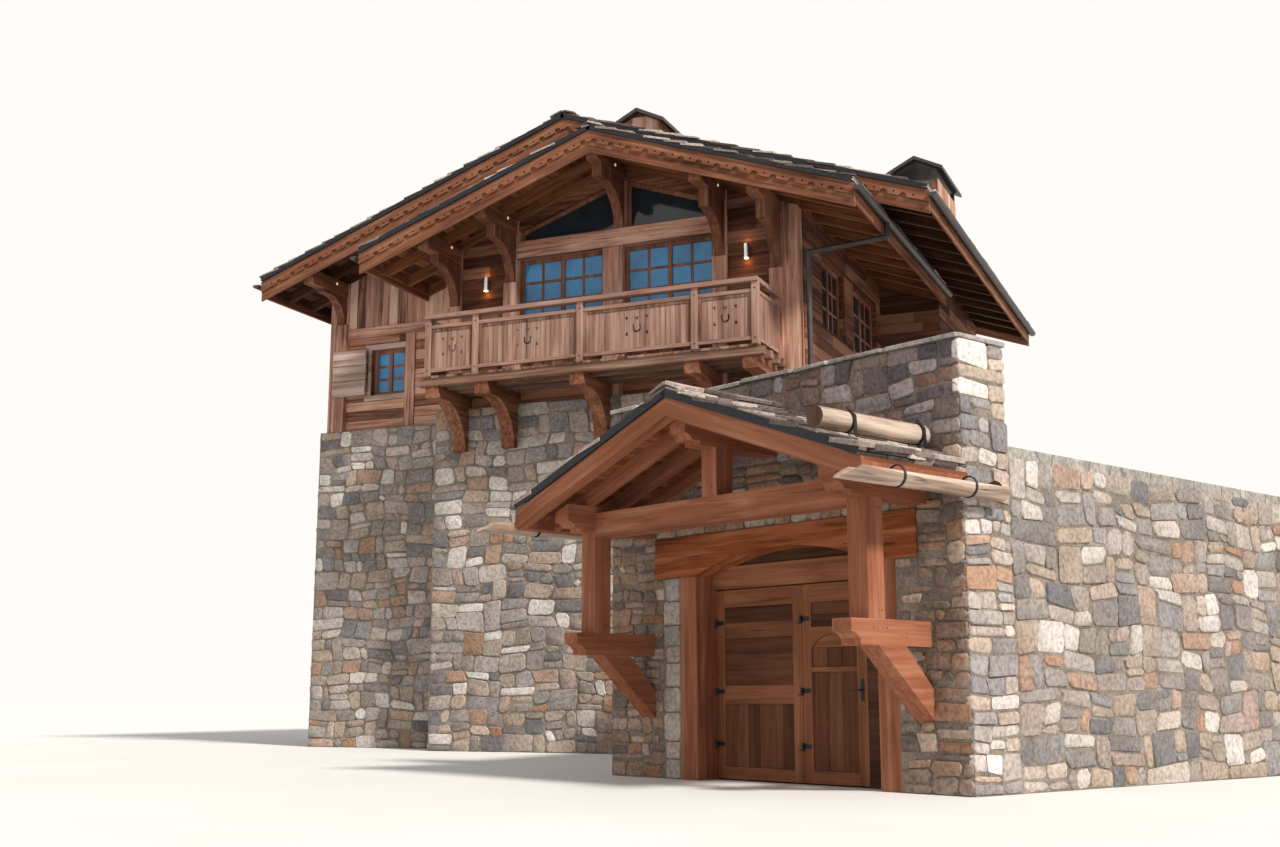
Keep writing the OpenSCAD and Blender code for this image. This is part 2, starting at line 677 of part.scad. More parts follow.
// Upper storey: purlins and the posts that carry their braces
outer_right_x = bay_half - post_w - right_post_w / 2;
inner_x = inner_post_x - post_w / 2;
lower_purlin_x = [-left_post_x, -inner_x, lower_ridge_x, inner_x, outer_right_x];
wing_purlin_x = wing_post_w - wing_left - 140;
right_plate_x = wing_right - timber_t / 2;
upper_purlin_x = [wing_purlin_x, -3600, upper_ridge_x, 1700, right_plate_x];
function lower_foot(x) = beam_foot(lower_z(x), roof_slope, purlin_w, under, purlin_d);
function upper_foot(x) = beam_foot(upper_z(x), roof_slope, purlin_w, under, purlin_d);
module lower_purlin(x)
    beam_outline(lower_ridge_x, lower_ridge_z, roof_slope, x, purlin_w, under, purlin_d);
module upper_purlin(x)
    beam_outline(upper_ridge_x, upper_ridge_z, roof_slope, x, purlin_w, under, purlin_d);
// Notches in the walls are open above the purlins they hold
notch_up = 5;
module lower_purlin_cuts() for (x = lower_purlin_x) beam_outline(
    lower_ridge_x, lower_ridge_z, roof_slope, x, purlin_w, under - notch_up, purlin_d + notch_up);
module upper_purlin_cuts() for (x = upper_purlin_x) beam_outline(
    upper_ridge_x, upper_ridge_z, roof_slope, x, purlin_w, under - notch_up, purlin_d + notch_up);

module bay_front_wall() color("sienna") {
    for (s = [[post_w / 2 - left_post_x, -inner_post_x], [inner_post_x, bay_half - post_w - right_post_w]])
        along_y(0, timber_t) difference() {
            below_lower(s[0], s[1]);
            lower_purlin_cuts();
        }
    for (s = [[-inner_in, -mid_post_w / 2], [mid_post_w / 2, inner_in]])
        block([s[0], 0, stone_top], [s[1], timber_t, floor_top]);
    along_y(0, timber_t) difference() {
        lower_layer(-inner_in, inner_in, under, under + gable_beam_d);
        lower_purlin_cuts();
    }
}
side_head_z = upper_z(-wing_left) - under - side_head;
side_sill_z = side_head_z - side_win_h;
side_wins = [[1300, side_win_a], [3300, side_win_b]];
module bay_side_walls() color("sienna") {
    along_y(timber_t, wing_y + timber_t) difference() {
        below_lower(-bay_half, timber_t - bay_half);
        lower_purlin_cuts();
    }
    difference() {
        union() {
            along_y(timber_t, wing_y + eps) below_lower(bay_half - timber_t, bay_half);
            along_y(wing_y, bay_right_d) below_upper(bay_half - timber_t, bay_half);
        }
        for (w = side_wins) block([bay_half - timber_t - eps, w[0], side_sill_z],
            [bay_half + eps, w[0] + w[1], side_head_z]);
    }
}
wing_win_x = -5590;
wing_win_z = floor_top + 300;
wing_post_x = wing_post_w - wing_left;
module wing_front_wall() color("sienna") difference() {
    inner = bay_half - timber_t;
    along_y(wing_y, wing_y + timber_t) difference() {
        polygon([
            [wing_post_x, stone_top], [-bay_half, stone_top],
            [-bay_half, lower_z(-bay_half) - under], [lower_ridge_x, lower_ridge_z - under],
            [inner, lower_z(inner) - under], [inner, upper_z(inner) - under],
            [upper_ridge_x, upper_ridge_z - under], [wing_post_x, upper_z(wing_post_x) - under]]);
        upper_purlin_cuts();
    }
    block([wing_win_x, wing_y - eps, wing_win_z],
        [wing_win_x + wing_win_w, wing_y + timber_t + eps, wing_win_z + wing_win_h]);
}
// The left wall is notched for a purlin; a wall plate lies on the right one
left_wins = [2600, 5700];
module rear_side_walls() color("sienna") {
    difference() {
        along_y(wing_y + timber_t, house_d - timber_t) difference() {
            below_upper(-wing_left, timber_t - wing_left);
            upper_purlin_cuts();
        }
        for (y = left_wins) block([-wing_left - eps, y, side_sill_z],
            [timber_t - wing_left + eps, y + plain_win_w, side_head_z]);
    }
    block([wing_right - timber_t, bay_right_d + timber_t, stone_top],
        [wing_right, house_d - timber_t, upper_foot(right_plate_x)]);
}
back_wins = [-4700, -1450, 1800];
module rear_cross_walls() color("sienna") {
    difference() {
        along_y(house_d - timber_t, house_d) difference() {
            below_upper(-wing_left, wing_right);
            upper_purlin_cuts();
        }
        for (x = back_wins) block([x, house_d - timber_t - eps, side_sill_z],
            [x + plain_win_w, house_d + eps, side_head_z]);
    }
    along_y(bay_right_d, bay_right_d + timber_t) difference() {
        below_upper(bay_half - timber_t, wing_right);
        upper_purlin_cuts();
    }
}

// Posts: each stands proud up to the ledge on which a brace is seated
inner_ledge = floor_top + inner_ledge_h;
outer_ledge = floor_top + outer_ledge_h;
wing_ledge = outer_ledge + 220;
proud_posts = [
    [-left_post_x - post_w / 2, post_w / 2 - left_post_x, outer_ledge],
    [-inner_post_x, -inner_in, inner_ledge],
    [inner_in, inner_post_x, inner_ledge],
    [bay_half - post_w - right_post_w, bay_half - post_w, outer_ledge]];
wing_proud_half = 130;
module post_ledges() for (p = proud_posts)
    block([p[0], -ledge_proud, stone_top], [p[1], eps, p[2]]);
module mid_post() block([-mid_post_w / 2, -post_proud, stone_top], [mid_post_w / 2, timber_t, glazed_top]);
stud_w = 210;
band_z = outer_ledge - 70;
band_d = 200;
module facade_posts() color("peru") {
    along_y(-post_proud, timber_t) difference() {
        union() {
            below_lower(-bay_half, post_w / 2 - left_post_x);
            below_lower(bay_half - post_w - right_post_w, bay_half);
            for (x = [-inner_post_x, inner_in]) below_lower(x, x + post_w);
        }
        lower_purlin_cuts();
    }
    post_ledges();
    mid_post();
    block([lower_ridge_x - ridge_post_w / 2, -post_proud, lintel_top],
        [lower_ridge_x + ridge_post_w / 2, timber_t, lower_foot(lower_ridge_x)]);
    along_y(wing_y - post_proud, wing_y + timber_t) difference() {
        below_upper(-wing_left, wing_post_x);
        upper_purlin_cuts();
    }
    block([wing_purlin_x - wing_proud_half, wing_y - ledge_proud, stone_top],
        [wing_purlin_x + wing_proud_half, wing_y, wing_ledge]);
    block([wing_win_x + wing_win_w + 30, wing_y - post_proud, stone_top],
        [wing_win_x + wing_win_w + 30 + stud_w, wing_y, band_z]);
}
// Lintels meet over the middle post; a band runs over the window of the wing
lintel_joint = -110;
module lintel_beams() color("peru") {
    block([-inner_in, -lintel_proud, glazed_top], [lintel_joint - eps, timber_t, lintel_top]);
    block([lintel_joint, -lintel_proud, glazed_top], [inner_in, timber_t, lintel_top]);
    block([wing_post_x, wing_y - post_proud, band_z], [-bay_half, wing_y, band_z + band_d]);
}

// Window frames with one middle member; the frame's hole is glazed with panes
function panes(a, b) = [
    [a + frame_w, (a + b) / 2 - frame_w / 2], [(a + b) / 2 + frame_w / 2, b - frame_w]];
glass_in = (frame_t - glass_t) / 2;
module frame_across(x0, x1, z0, z1, y) difference() {
    block([x0, y, z0], [x1, y + frame_t, z1]);
    for (s = panes(x0, x1)) block([s[0], y - eps, z0 + frame_w], [s[1], y + frame_t + eps, z1 - frame_w]);
}
module frame_along(x, y0, y1) difference() {
    block([x, y0, side_sill_z], [x + frame_t, y1, side_head_z]);
    for (s = panes(y0, y1))
        block([x - eps, s[0], side_sill_z + frame_w], [x + frame_t + eps, s[1], side_head_z - frame_w]);
}
module panes_across(x0, x1, z0, z1, y) for (s = panes(x0, x1))
    block([s[0], y + glass_in, z0 + frame_w], [s[1], y + glass_in + glass_t, z1 - frame_w]);
module panes_along(x, y0, y1) for (s = panes(y0, y1))
    block([x + glass_in, s[0], side_sill_z + frame_w], [x + glass_in + glass_t, s[1], side_head_z - frame_w]);
// The gable glazing fills the field between lintel, posts and sloping beam
gable_fields = [[-inner_in, lower_ridge_x - ridge_post_w / 2], [lower_ridge_x + ridge_post_w / 2, inner_in]];
module gable_field(s, inset) intersection() {
    translate([s[0] + inset, lintel_top + inset]) square([s[1] - s[0] - 2 * inset, lower_rise]);
    lower_layer(lower_x0, lower_x1, under + gable_beam_d + inset, lower_rise - inset);
}
frame_y = 90;
door_fields = [[-inner_in, -mid_post_w / 2], [mid_post_w / 2, inner_in]];
rear_frame_y = house_d - frame_y - frame_t;
right_frame_x = bay_half - frame_y - frame_t;
module window_frames() color("saddlebrown") {
    for (s = door_fields) frame_across(s[0], s[1], floor_top, glazed_top, frame_y);
    for (s = gable_fields) along_y(frame_y, frame_y + frame_t) difference() {
        gable_field(s, 0);
        gable_field(s, frame_w);
        lower_purlin(lower_ridge_x);
    }
    frame_across(wing_win_x, wing_win_x + wing_win_w, wing_win_z, wing_win_z + wing_win_h, wing_y + frame_y);
    for (w = side_wins) frame_along(right_frame_x, w[0], w[0] + w[1]);
    for (y = left_wins) frame_along(frame_y - wing_left, y, y + plain_win_w);
    for (x = back_wins) frame_across(x, x + plain_win_w, side_sill_z, side_head_z, rear_frame_y);
}
module window_glass() color("skyblue") {
    for (s = door_fields) panes_across(s[0], s[1], floor_top, glazed_top, frame_y);
    for (s = gable_fields) along_y(frame_y + glass_in, frame_y + glass_in + glass_t) gable_field(s, frame_w);
    panes_across(wing_win_x, wing_win_x + wing_win_w, wing_win_z, wing_win_z + wing_win_h, wing_y + frame_y);
    for (w = side_wins) panes_along(right_frame_x, w[0], w[0] + w[1]);
    for (y = left_wins) panes_along(frame_y - wing_left, y, y + plain_win_w);
    for (x = back_wins) panes_across(x, x + plain_win_w, side_sill_z, side_head_z, rear_frame_y);
}
// The open shutter lies on the corner post beside the window of the wing
shutter_t = 40;
shutter_gap = 50;
module shutter() color("burlywood")
    block([wing_win_x - wing_win_w - shutter_gap, wing_y - ledge_proud - shutter_t, wing_win_z],
        [wing_win_x - shutter_gap, wing_y - ledge_proud, wing_win_z + wing_win_h]);

// Balcony: brackets carry joists, joists carry the boards
balcony_half = balcony_w / 2;
board_z = floor_top - board_t;
joist_z = board_z - joist_d;
joist_w = 140;
joist_y = [-balcony_d, 350 - balcony_d, 700 - balcony_d, -ledge_proud - joist_w];
module balcony_boards() color("peru") difference() {
    block([-balcony_half, -balcony_d - edge_in, board_z], [balcony_half, 0, floor_top]);
    post_ledges();
    mid_post();
}
module balcony_joists() color("sienna") for (y = joist_y)
    block([-balcony_half - joist_out, y, joist_z], [balcony_half + joist_out, y + joist_w, board_z]);
balcony_beam_x = [-2875, -1900, -120, 1905, 2885];
bracket_front = 30 - balcony_d;
strut_r = 820;
strut_toe = 120;
module balcony_brackets() color("sienna") for (x = balcony_beam_x) {
    difference() {
        block([x - bracket_w / 2, bracket_front, stone_top], [x + bracket_w / 2, 0, joist_z]);
        post_ledges();
        mid_post();
    }
    along_x(x - bracket_w / 2, x + bracket_w / 2) difference() {
        polygon([
            [-stone_out, stone_top + eps], [-stone_out, stone_top - strut_h],
            [-stone_out - strut_toe, stone_top - strut_h], [bracket_front + strut_toe, stone_top],
            [bracket_front + strut_toe, stone_top + eps]]);
        translate([-stone_out - strut_toe - strut_r, stone_top - strut_h]) circle(strut_r, $fn = 64);
    }
}
rail_top = floor_top + rail_h;
rail_top_t = 70;
rail_y0 = 20 - balcony_d;
rail_y1 = rail_y0 + rail_post_w;
rail_end = balcony_half - rail_post_w / 2;
rail_posts_x = [-rail_end, -2040, -70, 1960, rail_end];
rail_bar = 60;
bar_half = 30;
mid_rail_z = rail_top - 240;
low_rail_z = floor_top + 80;
// The return rails end at the posts of the front wall
return_y = -ledge_proud;
module balcony_rail() color("peru") {
    for (x = rail_posts_x)
        block([x - rail_post_w / 2, rail_y0, floor_top], [x + rail_post_w / 2, rail_y1, rail_top - eps]);
    block([-balcony_half, rail_y0 - 30, rail_top - rail_top_t], [balcony_half, rail_y1 + 30, rail_top]);
    for (z = [mid_rail_z, low_rail_z])
        block([-rail_end, rail_y0 + 20, z], [rail_end, rail_y1 - 20, z + rail_bar]);
    for (x = [-rail_end, rail_end]) {
        block([x - rail_post_w / 2, rail_y0, rail_top - rail_top_t], [x + rail_post_w / 2, return_y, rail_top]);
        for (z = [mid_rail_z, low_rail_z])
            block([x - bar_half, rail_y0 + 40, z], [x + bar_half, return_y, z + rail_bar]);
    }
}
panel_z0 = low_rail_z + rail_bar;
panel_y = (rail_y0 + rail_y1 - panel_t) / 2;
// Cut-outs of the boards: a horseshoe under a tulip, between darts
module cut_outs(x, z) translate([x, z]) {
    difference() {
        union() {
            circle(75);
            translate([-75, 0]) square([150, 60]);
        }
        circle(42);
        translate([-42, 0]) square([84, 80]);
    }
    translate([0, 170]) polygon([[-40, 40], [-20, -30], [20, -30], [40, 40], [0, 0]]);
    for (s = [-1, 1]) {
        translate([s * 180, -110]) polygon([[-32, 0], [0, 70], [32, 0]]);
        translate([s * 180, 150]) polygon([[-32, 50], [0, -20], [32, 50]]);
    }
}
module balcony_panels() color("burlywood") {
    for (i = [0:3]) along_y(panel_y, panel_y + panel_t) difference() {
        translate([rail_posts_x[i] + rail_post_w / 2, panel_z0])
            square([rail_posts_x[i + 1] - rail_posts_x[i] - rail_post_w, mid_rail_z - panel_z0]);
        cut_outs((rail_posts_x[i] + rail_posts_x[i + 1]) / 2, (panel_z0 + mid_rail_z) / 2 - 20);
    }
    for (x = [-rail_end, rail_end])
        block([x - panel_t / 2, rail_y1, panel_z0], [x + panel_t / 2, return_y, mid_rail_z]);
}

// Roof coverings: the lower roof goes on as a narrow strip beside the main house
module roof_shell(a, b, inset, back) {
    along_y(lower_verge + back, wing_y) lower_layer(lower_x0 + inset, lower_x1 - inset, a, b);
    along_y(wing_y - eps, bay_right_d) lower_layer(bay_half, lower_x1 - inset, a, b);
    along_y(upper_verge + back, rear_verge - back) upper_layer(upper_x0 + inset, upper_x1 - inset, a, b);
}
module roof_decks() color("peru") roof_shell(slab_t, slab_t + deck_t, edge_in, barge_back + barge_t);
module roof_slabs() color("dimgray") roof_shell(0, slab_t, 0, 0);

// Rafters of one slope are joined by the blocking at the eave and over the walls
eave_t = 40;
frame_top = slab_t + deck_t;
raft_y0 = lower_verge + frame_back;
upper_raft_y0 = upper_verge + frame_back;
upper_raft_y1 = rear_verge - frame_back;
lower_n = ceil((wing_y - rafter_w - raft_y0) / rafter_gap);
strip_n = ceil((bay_right_d - wing_y) / rafter_gap);
upper_n = ceil((upper_raft_y1 - rafter_w - upper_raft_y0) / rafter_gap);
lower_raft_x0 = lower_x0 + edge_in + eave_t;
lower_raft_x1 = lower_x1 - edge_in - eave_t;
upper_raft_x0 = upper_x0 + edge_in + eave_t;
upper_raft_x1 = upper_x1 - edge_in - eave_t;
module plan(x0, x1, y0, y1) translate([x0, y0]) square([x1 - x0, y1 - y0]);
module lower_plan() {
    for (i = [0:lower_n]) {
        y = raft_y0 + i * (wing_y - rafter_w - raft_y0) / lower_n;
        plan(lower_raft_x0, lower_raft_x1, y, y + rafter_w);
    }
    for (i = [1:strip_n]) {
        y = wing_y - rafter_w + i * (bay_right_d - wing_y) / strip_n;
        plan(bay_half, lower_raft_x1, y, y + rafter_w);
    }
    plan(lower_raft_x0, lower_raft_x0 + eave_t, raft_y0, wing_y);
    plan(lower_raft_x1 - eave_t, lower_raft_x1, raft_y0, bay_right_d);
    plan(-bay_half, bay_half, 0, timber_t);
    plan(-bay_half, eave_t - bay_half, 0, wing_y);
    plan(bay_half - eave_t, bay_half, 0, wing_y);
}
module upper_plan() {
    for (i = [0:upper_n]) {
        y = upper_raft_y0 + i * (upper_raft_y1 - rafter_w - upper_raft_y0) / upper_n;
        plan(upper_raft_x0, upper_raft_x1, y, y + rafter_w);
    }
    plan(upper_raft_x0, upper_raft_x0 + eave_t, upper_raft_y0, upper_raft_y1);
    plan(upper_raft_x1 - eave_t, upper_raft_x1, upper_raft_y0, upper_raft_y1);
    plan(-wing_left, bay_half, wing_y, wing_y + timber_t);
    plan(-wing_left, wing_right, house_d - timber_t, house_d);
    plan(-wing_left, eave_t - wing_left, wing_y, house_d);
    plan(bay_half - eave_t, bay_half, wing_y, bay_right_d);
    plan(bay_half - eave_t, wing_right, bay_right_d, bay_right_d + timber_t);
    plan(wing_right - eave_t, wing_right, bay_right_d, house_d);
}
module roof_rafters() color("saddlebrown") {
    for (s = [[lower_raft_x0, lower_ridge_x - eps], [lower_ridge_x + eps, lower_raft_x1]]) intersection() {
        along_y(raft_y0, bay_right_d) lower_layer(s[0], s[1], frame_top, under - seam);
        upright(stone_top, upper_ridge_z) lower_plan();
    }
    for (s = [[upper_raft_x0, upper_ridge_x - eps], [upper_ridge_x + eps, upper_raft_x1]]) intersection() {
        along_y(upper_raft_y0, upper_raft_y1) upper_layer(s[0], s[1], frame_top, under - seam);
        upright(stone_top, upper_ridge_z) upper_plan();
    }
}
// Purlins of the upper roof that would meet the lower one start at the wall behind it
purlin_back = 60;
module roof_purlins() color("sienna") {
    for (x = lower_purlin_x) along_y(raft_y0 + purlin_back, wing_y + timber_t) lower_purlin(x);
    for (x = upper_purlin_x) {
        start = x < lower_ridge_x ? upper_raft_y0 + purlin_back : x < bay_half ? wing_y : bay_right_d;
        along_y(start, upper_raft_y1 - purlin_back) upper_purlin(x);
    }
}
// A brace hangs its corbel under the purlin and stands on the ledge of its post
module brace(x, wall_y, top, foot, out) along_x(x - brace_w / 2, x + brace_w / 2) {
    r = min(brace_r, top - foot - 60);
    difference() {
        translate([wall_y - out, foot]) square([out - post_proud, top - foot]);
        translate([wall_y - ledge_proud - r, foot]) circle(r, $fn = 64);
        translate([wall_y - out - eps, foot - eps]) square([out - ledge_proud - r + eps, r]);
    }
}
module roof_braces() color("sienna") {
    for (x = [-left_post_x, outer_right_x]) brace(x, 0, lower_foot(x), outer_ledge, brace_out);
    for (x = [-inner_x, inner_x]) brace(x, 0, lower_foot(x), inner_ledge, brace_out);
    brace(lower_ridge_x, 0, lower_foot(lower_ridge_x), lintel_top, ridge_brace_out);
    brace(wing_purlin_x, wing_y, upper_foot(wing_purlin_x), wing_ledge, brace_out);
}

// Bargeboards: an upper board with scallops and drip holes over a plain lower board.
// Half an outline is drawn along the slope from the ridge and then mirrored.
pitch_angle = atan(roof_slope);
module scalloped_half(half) intersection() {
    run = half / cos(pitch_angle);
    d = barge_upper_d * cos(pitch_angle);
    n = floor(run / scallop_pitch) - 1;
    rotate(-pitch_angle) difference() {
        translate([-d, -d]) square([run + 2 * d, d]);
        for (i = [0:n]) {
            translate([(i + 0.5) * scallop_pitch, -d]) circle(scallop_r);
            translate([(i + 1) * scallop_pitch, 3 * drip_hole_r - d]) circle(drip_hole_r);
        }
    }
    translate([0, -half]) square([half, half + eps]);
}
module scalloped_board(ridge_x, ridge_z, half) translate([ridge_x, ridge_z - slab_t - seam]) {
    scalloped_half(half);
    mirror([1, 0]) scalloped_half(half);
}
barge_lower = slab_t + barge_upper_d + barge_lower_d;
module bargeboards() color("sienna") {
    along_y(lower_verge + barge_back, lower_verge + barge_back + barge_t)
        scalloped_board(lower_ridge_x, lower_ridge_z, lower_half - edge_in);
    along_y(lower_verge + barge_back + barge_t - eps, raft_y0)
        lower_layer(lower_x0 + edge_in, lower_x1 - edge_in, frame_top, barge_lower);
    along_y(upper_verge + barge_back, upper_verge + barge_back + barge_t)
        scalloped_board(upper_ridge_x, upper_ridge_z, upper_half - edge_in);
    along_y(upper_verge + barge_back + barge_t - eps, upper_raft_y0) difference() {
        upper_layer(upper_x0 + edge_in, upper_x1 - edge_in, frame_top, barge_lower);
        lower_layer(lower_x0, lower_x1, -edge_in, lower_rise);
    }
    along_y(rear_verge - barge_back - barge_t, rear_verge - barge_back)
        scalloped_board(upper_ridge_x, upper_ridge_z, upper_half - edge_in);
    along_y(upper_raft_y1, rear_verge - barge_back - barge_t + eps)
        upper_layer(upper_x0 + edge_in, upper_x1 - edge_in, frame_top, barge_lower);
}
module eave_boards() color("peru") {
    bottom = frame_top + eave_board_d;
    along_y(raft_y0, wing_y) lower_layer(lower_raft_x0 - eave_t, lower_raft_x0, frame_top, bottom);
    along_y(raft_y0, bay_right_d) lower_layer(lower_raft_x1, lower_raft_x1 + eave_t, frame_top, bottom);
    along_y(upper_raft_y0, upper_raft_y1) {
        upper_layer(upper_raft_x0 - eave_t, upper_raft_x0, frame_top, bottom);
        upper_layer(upper_raft_x1, upper_raft_x1 + eave_t, frame_top, bottom);
    }
}

// Half-round gutters on the eave boards, and a pipe down the corner of the bay
gutter_r = 70;
gutter_wall = 6;
gutter_out = 40;
pipe_r = 45;
pipe_x = stone_half + pipe_r + 15;
pipe_y = 60;
outlet_y = 410;
outlet_h = 230;
elbow_z = outer_ledge + 240;
gutter_drop = slab_t + 60;
module gutter(x, z, y0, y1) difference() {
    translate([x, y1, z]) rotate([90, 0, 0]) cylinder(r = gutter_r, h = y1 - y0);
    translate([x, y1 - gutter_wall, z]) rotate([90, 0, 0])
        cylinder(r = gutter_r - gutter_wall, h = y1 - y0 - 2 * gutter_wall);
    block([x - gutter_r - eps, y0 - eps, z], [x + gutter_r + eps, y1 + eps, z + gutter_r + eps]);
}
module pipe(a, b) {
    v = b - a;
    translate(a) rotate([0, acos(v[2] / norm(v)), atan2(v[1], v[0])]) cylinder(r = pipe_r, h = norm(v));
}
lower_gutter_x = lower_x1 - edge_in + gutter_r;
lower_gutter_z = lower_z(lower_x1) - gutter_drop;
upper_gutter_z = upper_z(upper_x1) - gutter_drop;
module rainwater_goods() color("dimgray") {
    outlet_z = lower_gutter_z - gutter_r;
    elbow = [pipe_x, pipe_y, elbow_z];
    bend = [lower_gutter_x, outlet_y, outlet_z - outlet_h];
    difference() {
        union() {
            gutter(lower_gutter_x, lower_gutter_z, lower_verge - gutter_out, bay_right_d);
            pipe([pipe_x, pipe_y, terrace_top], elbow);
            pipe(elbow, bend);
            pipe(bend, [lower_gutter_x, outlet_y, outlet_z + gutter_r / 3]);
            for (p = [elbow, bend]) translate(p) sphere(pipe_r + gutter_wall);
        }
        translate([lower_gutter_x, bay_right_d - gutter_wall, lower_gutter_z]) rotate([90, 0, 0])
            cylinder(r = gutter_r - gutter_wall, h = bay_right_d - lower_verge);
    }
    gutter(lower_x0 + edge_in - gutter_r, lower_gutter_z, lower_verge - gutter_out, wing_y);
    gutter(upper_x1 - edge_in + gutter_r, upper_gutter_z, upper_verge - gutter_out, rear_verge);
    gutter(upper_x0 + edge_in - gutter_r, upper_gutter_z, upper_verge - gutter_out, rear_verge);
}

// A small gabled vent housing near the ridge and a tall clad stack behind it
vent_y0 = 2000;
vent_y1 = 3000;
vent_z = upper_ridge_z + vent_h;
vent_body_h = 1600;
stack_x0 = 3450;
stack_y0 = 6400;
stack_x1 = stack_x0 + stack_w;
stack_y1 = stack_y0 + stack_d;
stack_z = upper_ridge_z + stack_h;
cap_t = 70;
cap_out = 130;
cap_slope = 0.5;
cap_leg = 90;
cap_leg_h = 120;
cap_apex_z = stack_z + cap_leg_h + 330;
module chimney_stacks() color("sienna") difference() {
    union() {
        along_y(vent_y0, vent_y1)
            gable_band(vent_x, vent_z, cap_slope, vent_x - vent_w / 2, vent_x + vent_w / 2, 0, vent_body_h);
        block([stack_x0, stack_y0, upper_z(stack_x1) - cap_leg], [stack_x1, stack_y1, stack_z]);
    }
    along_y(0, house_d) upper_layer(upper_x0, upper_x1, 0, lower_rise);
}
module chimney_caps() color("dimgray") {
    along_y(vent_y0 - cap_out, vent_y1 + cap_out) gable_band(vent_x, vent_z, cap_slope,
        vent_x - vent_w / 2 - cap_out, vent_x + vent_w / 2 + cap_out, -cap_t, 0);
    mid = stack_x0 + stack_w / 2;
    for (x = [stack_x0, stack_x1 - cap_leg], y = [stack_y0, stack_y1 - cap_leg])
        block([x, y, stack_z], [x + cap_leg, y + cap_leg, stack_z + cap_leg_h + cap_t]);
    along_y(stack_y0 - cap_out, stack_y1 + cap_out)
        gable_band(mid, cap_apex_z, cap_slope, stack_x0 - cap_out, stack_x1 + cap_out, -cap_t, 0);
    along_y(stack_y0, stack_y1) gable_band(mid, cap_apex_z, cap_slope, stack_x0, stack_x1, -eps, cap_t);
}

// Up-and-down lamps on the planks beside the glazing
lamp_r = 50;
lamp_h = 240;
lamp_x = 2470;
lamp_y = -lamp_r - 40;
lamp_z = inner_ledge - 90;
module wall_lamps() color("silver") for (s = [-1, 1]) translate([s * lamp_x, 0, lamp_z]) {
    translate([0, lamp_y, 0]) cylinder(r = lamp_r, h = lamp_h);
    block([-25, lamp_y, lamp_h / 2 - 35], [25, 0, lamp_h / 2 + 35]);
}

garage_piers();
garage_wall_over_door();
terrace_walls();
terrace_slab();
parapet_coping();
arch_beam();
door_jambs();
door_transom();
wide_leaf();
narrow_leaf();
jamb_pintles();
wide_leaf_irons();
narrow_leaf_irons();
porch_posts();
porch_brackets();
porch_truss();
porch_beams();
porch_rafters();
porch_deck();
porch_slabs();
porch_edge_boards();
porch_logs();
stone_cross_walls();
stone_side_walls();
floors();
bay_front_wall();
bay_side_walls();
wing_front_wall();
rear_side_walls();
rear_cross_walls();
facade_posts();
lintel_beams();
window_frames();
window_glass();
shutter();
balcony_boards();
balcony_joists();
balcony_brackets();
balcony_rail();
balcony_panels();
roof_decks();
roof_slabs();
roof_rafters();
roof_purlins();
roof_braces();
bargeboards();
eave_boards();
rainwater_goods();
chimney_stacks();
chimney_caps();
wall_lamps();
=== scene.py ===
"""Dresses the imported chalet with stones, slabs, planks, window bars and light.

Lengths are metres. In the house plan X runs along the balcony and Y into the house. The garage wing
has a plan of its own, turned by TURN about GARAGE_ORIGIN: X runs along its front and Y into it.
"""

import json
import logging
import math
import random
from dataclasses import dataclass
from enum import Enum
from typing import Callable, Sequence

import bpy
import numpy as np
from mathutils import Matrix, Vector

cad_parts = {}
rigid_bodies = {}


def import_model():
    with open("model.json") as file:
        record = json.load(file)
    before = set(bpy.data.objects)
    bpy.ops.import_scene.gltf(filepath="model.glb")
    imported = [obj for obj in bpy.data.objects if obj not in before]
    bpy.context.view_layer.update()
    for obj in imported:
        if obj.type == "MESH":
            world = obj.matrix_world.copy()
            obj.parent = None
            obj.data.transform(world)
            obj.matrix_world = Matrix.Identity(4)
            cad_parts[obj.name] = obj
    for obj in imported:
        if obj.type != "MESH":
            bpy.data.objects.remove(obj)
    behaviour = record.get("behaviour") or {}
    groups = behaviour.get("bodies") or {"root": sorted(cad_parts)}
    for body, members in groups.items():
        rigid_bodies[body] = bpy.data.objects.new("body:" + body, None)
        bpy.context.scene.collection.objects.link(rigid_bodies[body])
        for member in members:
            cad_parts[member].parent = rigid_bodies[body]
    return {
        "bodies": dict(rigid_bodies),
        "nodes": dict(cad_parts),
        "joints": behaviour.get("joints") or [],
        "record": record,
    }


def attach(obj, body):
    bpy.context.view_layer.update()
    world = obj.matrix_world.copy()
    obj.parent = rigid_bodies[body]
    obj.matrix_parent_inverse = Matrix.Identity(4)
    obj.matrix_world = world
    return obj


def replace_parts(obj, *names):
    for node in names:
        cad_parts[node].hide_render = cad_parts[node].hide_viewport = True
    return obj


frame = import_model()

LOG = logging.getLogger("chalet")
Point = tuple[float, float, float]
Rect = tuple[float, float, float, float]
Span = tuple[float, float]
Colour = tuple[float, float, float]
Stops = tuple[tuple[float, Colour], ...]
Tones = tuple[Colour, Colour, Colour]
Test = Callable[[Vector], bool] | None
Socket = bpy.types.NodeSocket
Value = Socket | float | tuple

# The body that carries all but the two leaves.
HOUSE = "building"
# Turn and corner of the garage's plan in the house plan.
TURN = math.radians(-25.6)
GARAGE_ORIGIN = (3.51, -6.52)
# Top of the stone storey, which is the foot of the timber storey.
STONE_TOP = 5.93
# Rise of both house roofs for each metre of run.
HOUSE_SLOPE = 0.35
# Share of a direction above which it counts as lying along an axis.
STRAIGHT = 0.9
# Lowest height of any block, just over the floor.
LOWEST = 0.001
# Angle in degrees below which the edges of rough stones are smoothed.
SOFT_EDGE = 40


def garage_way(x: float, y: float, z: float = 0.0) -> Point:
    """Turns a direction from the garage's own plan into the house plan."""
    c, s = math.cos(TURN), math.sin(TURN)
    return (x * c - y * s, x * s + y * c, z)


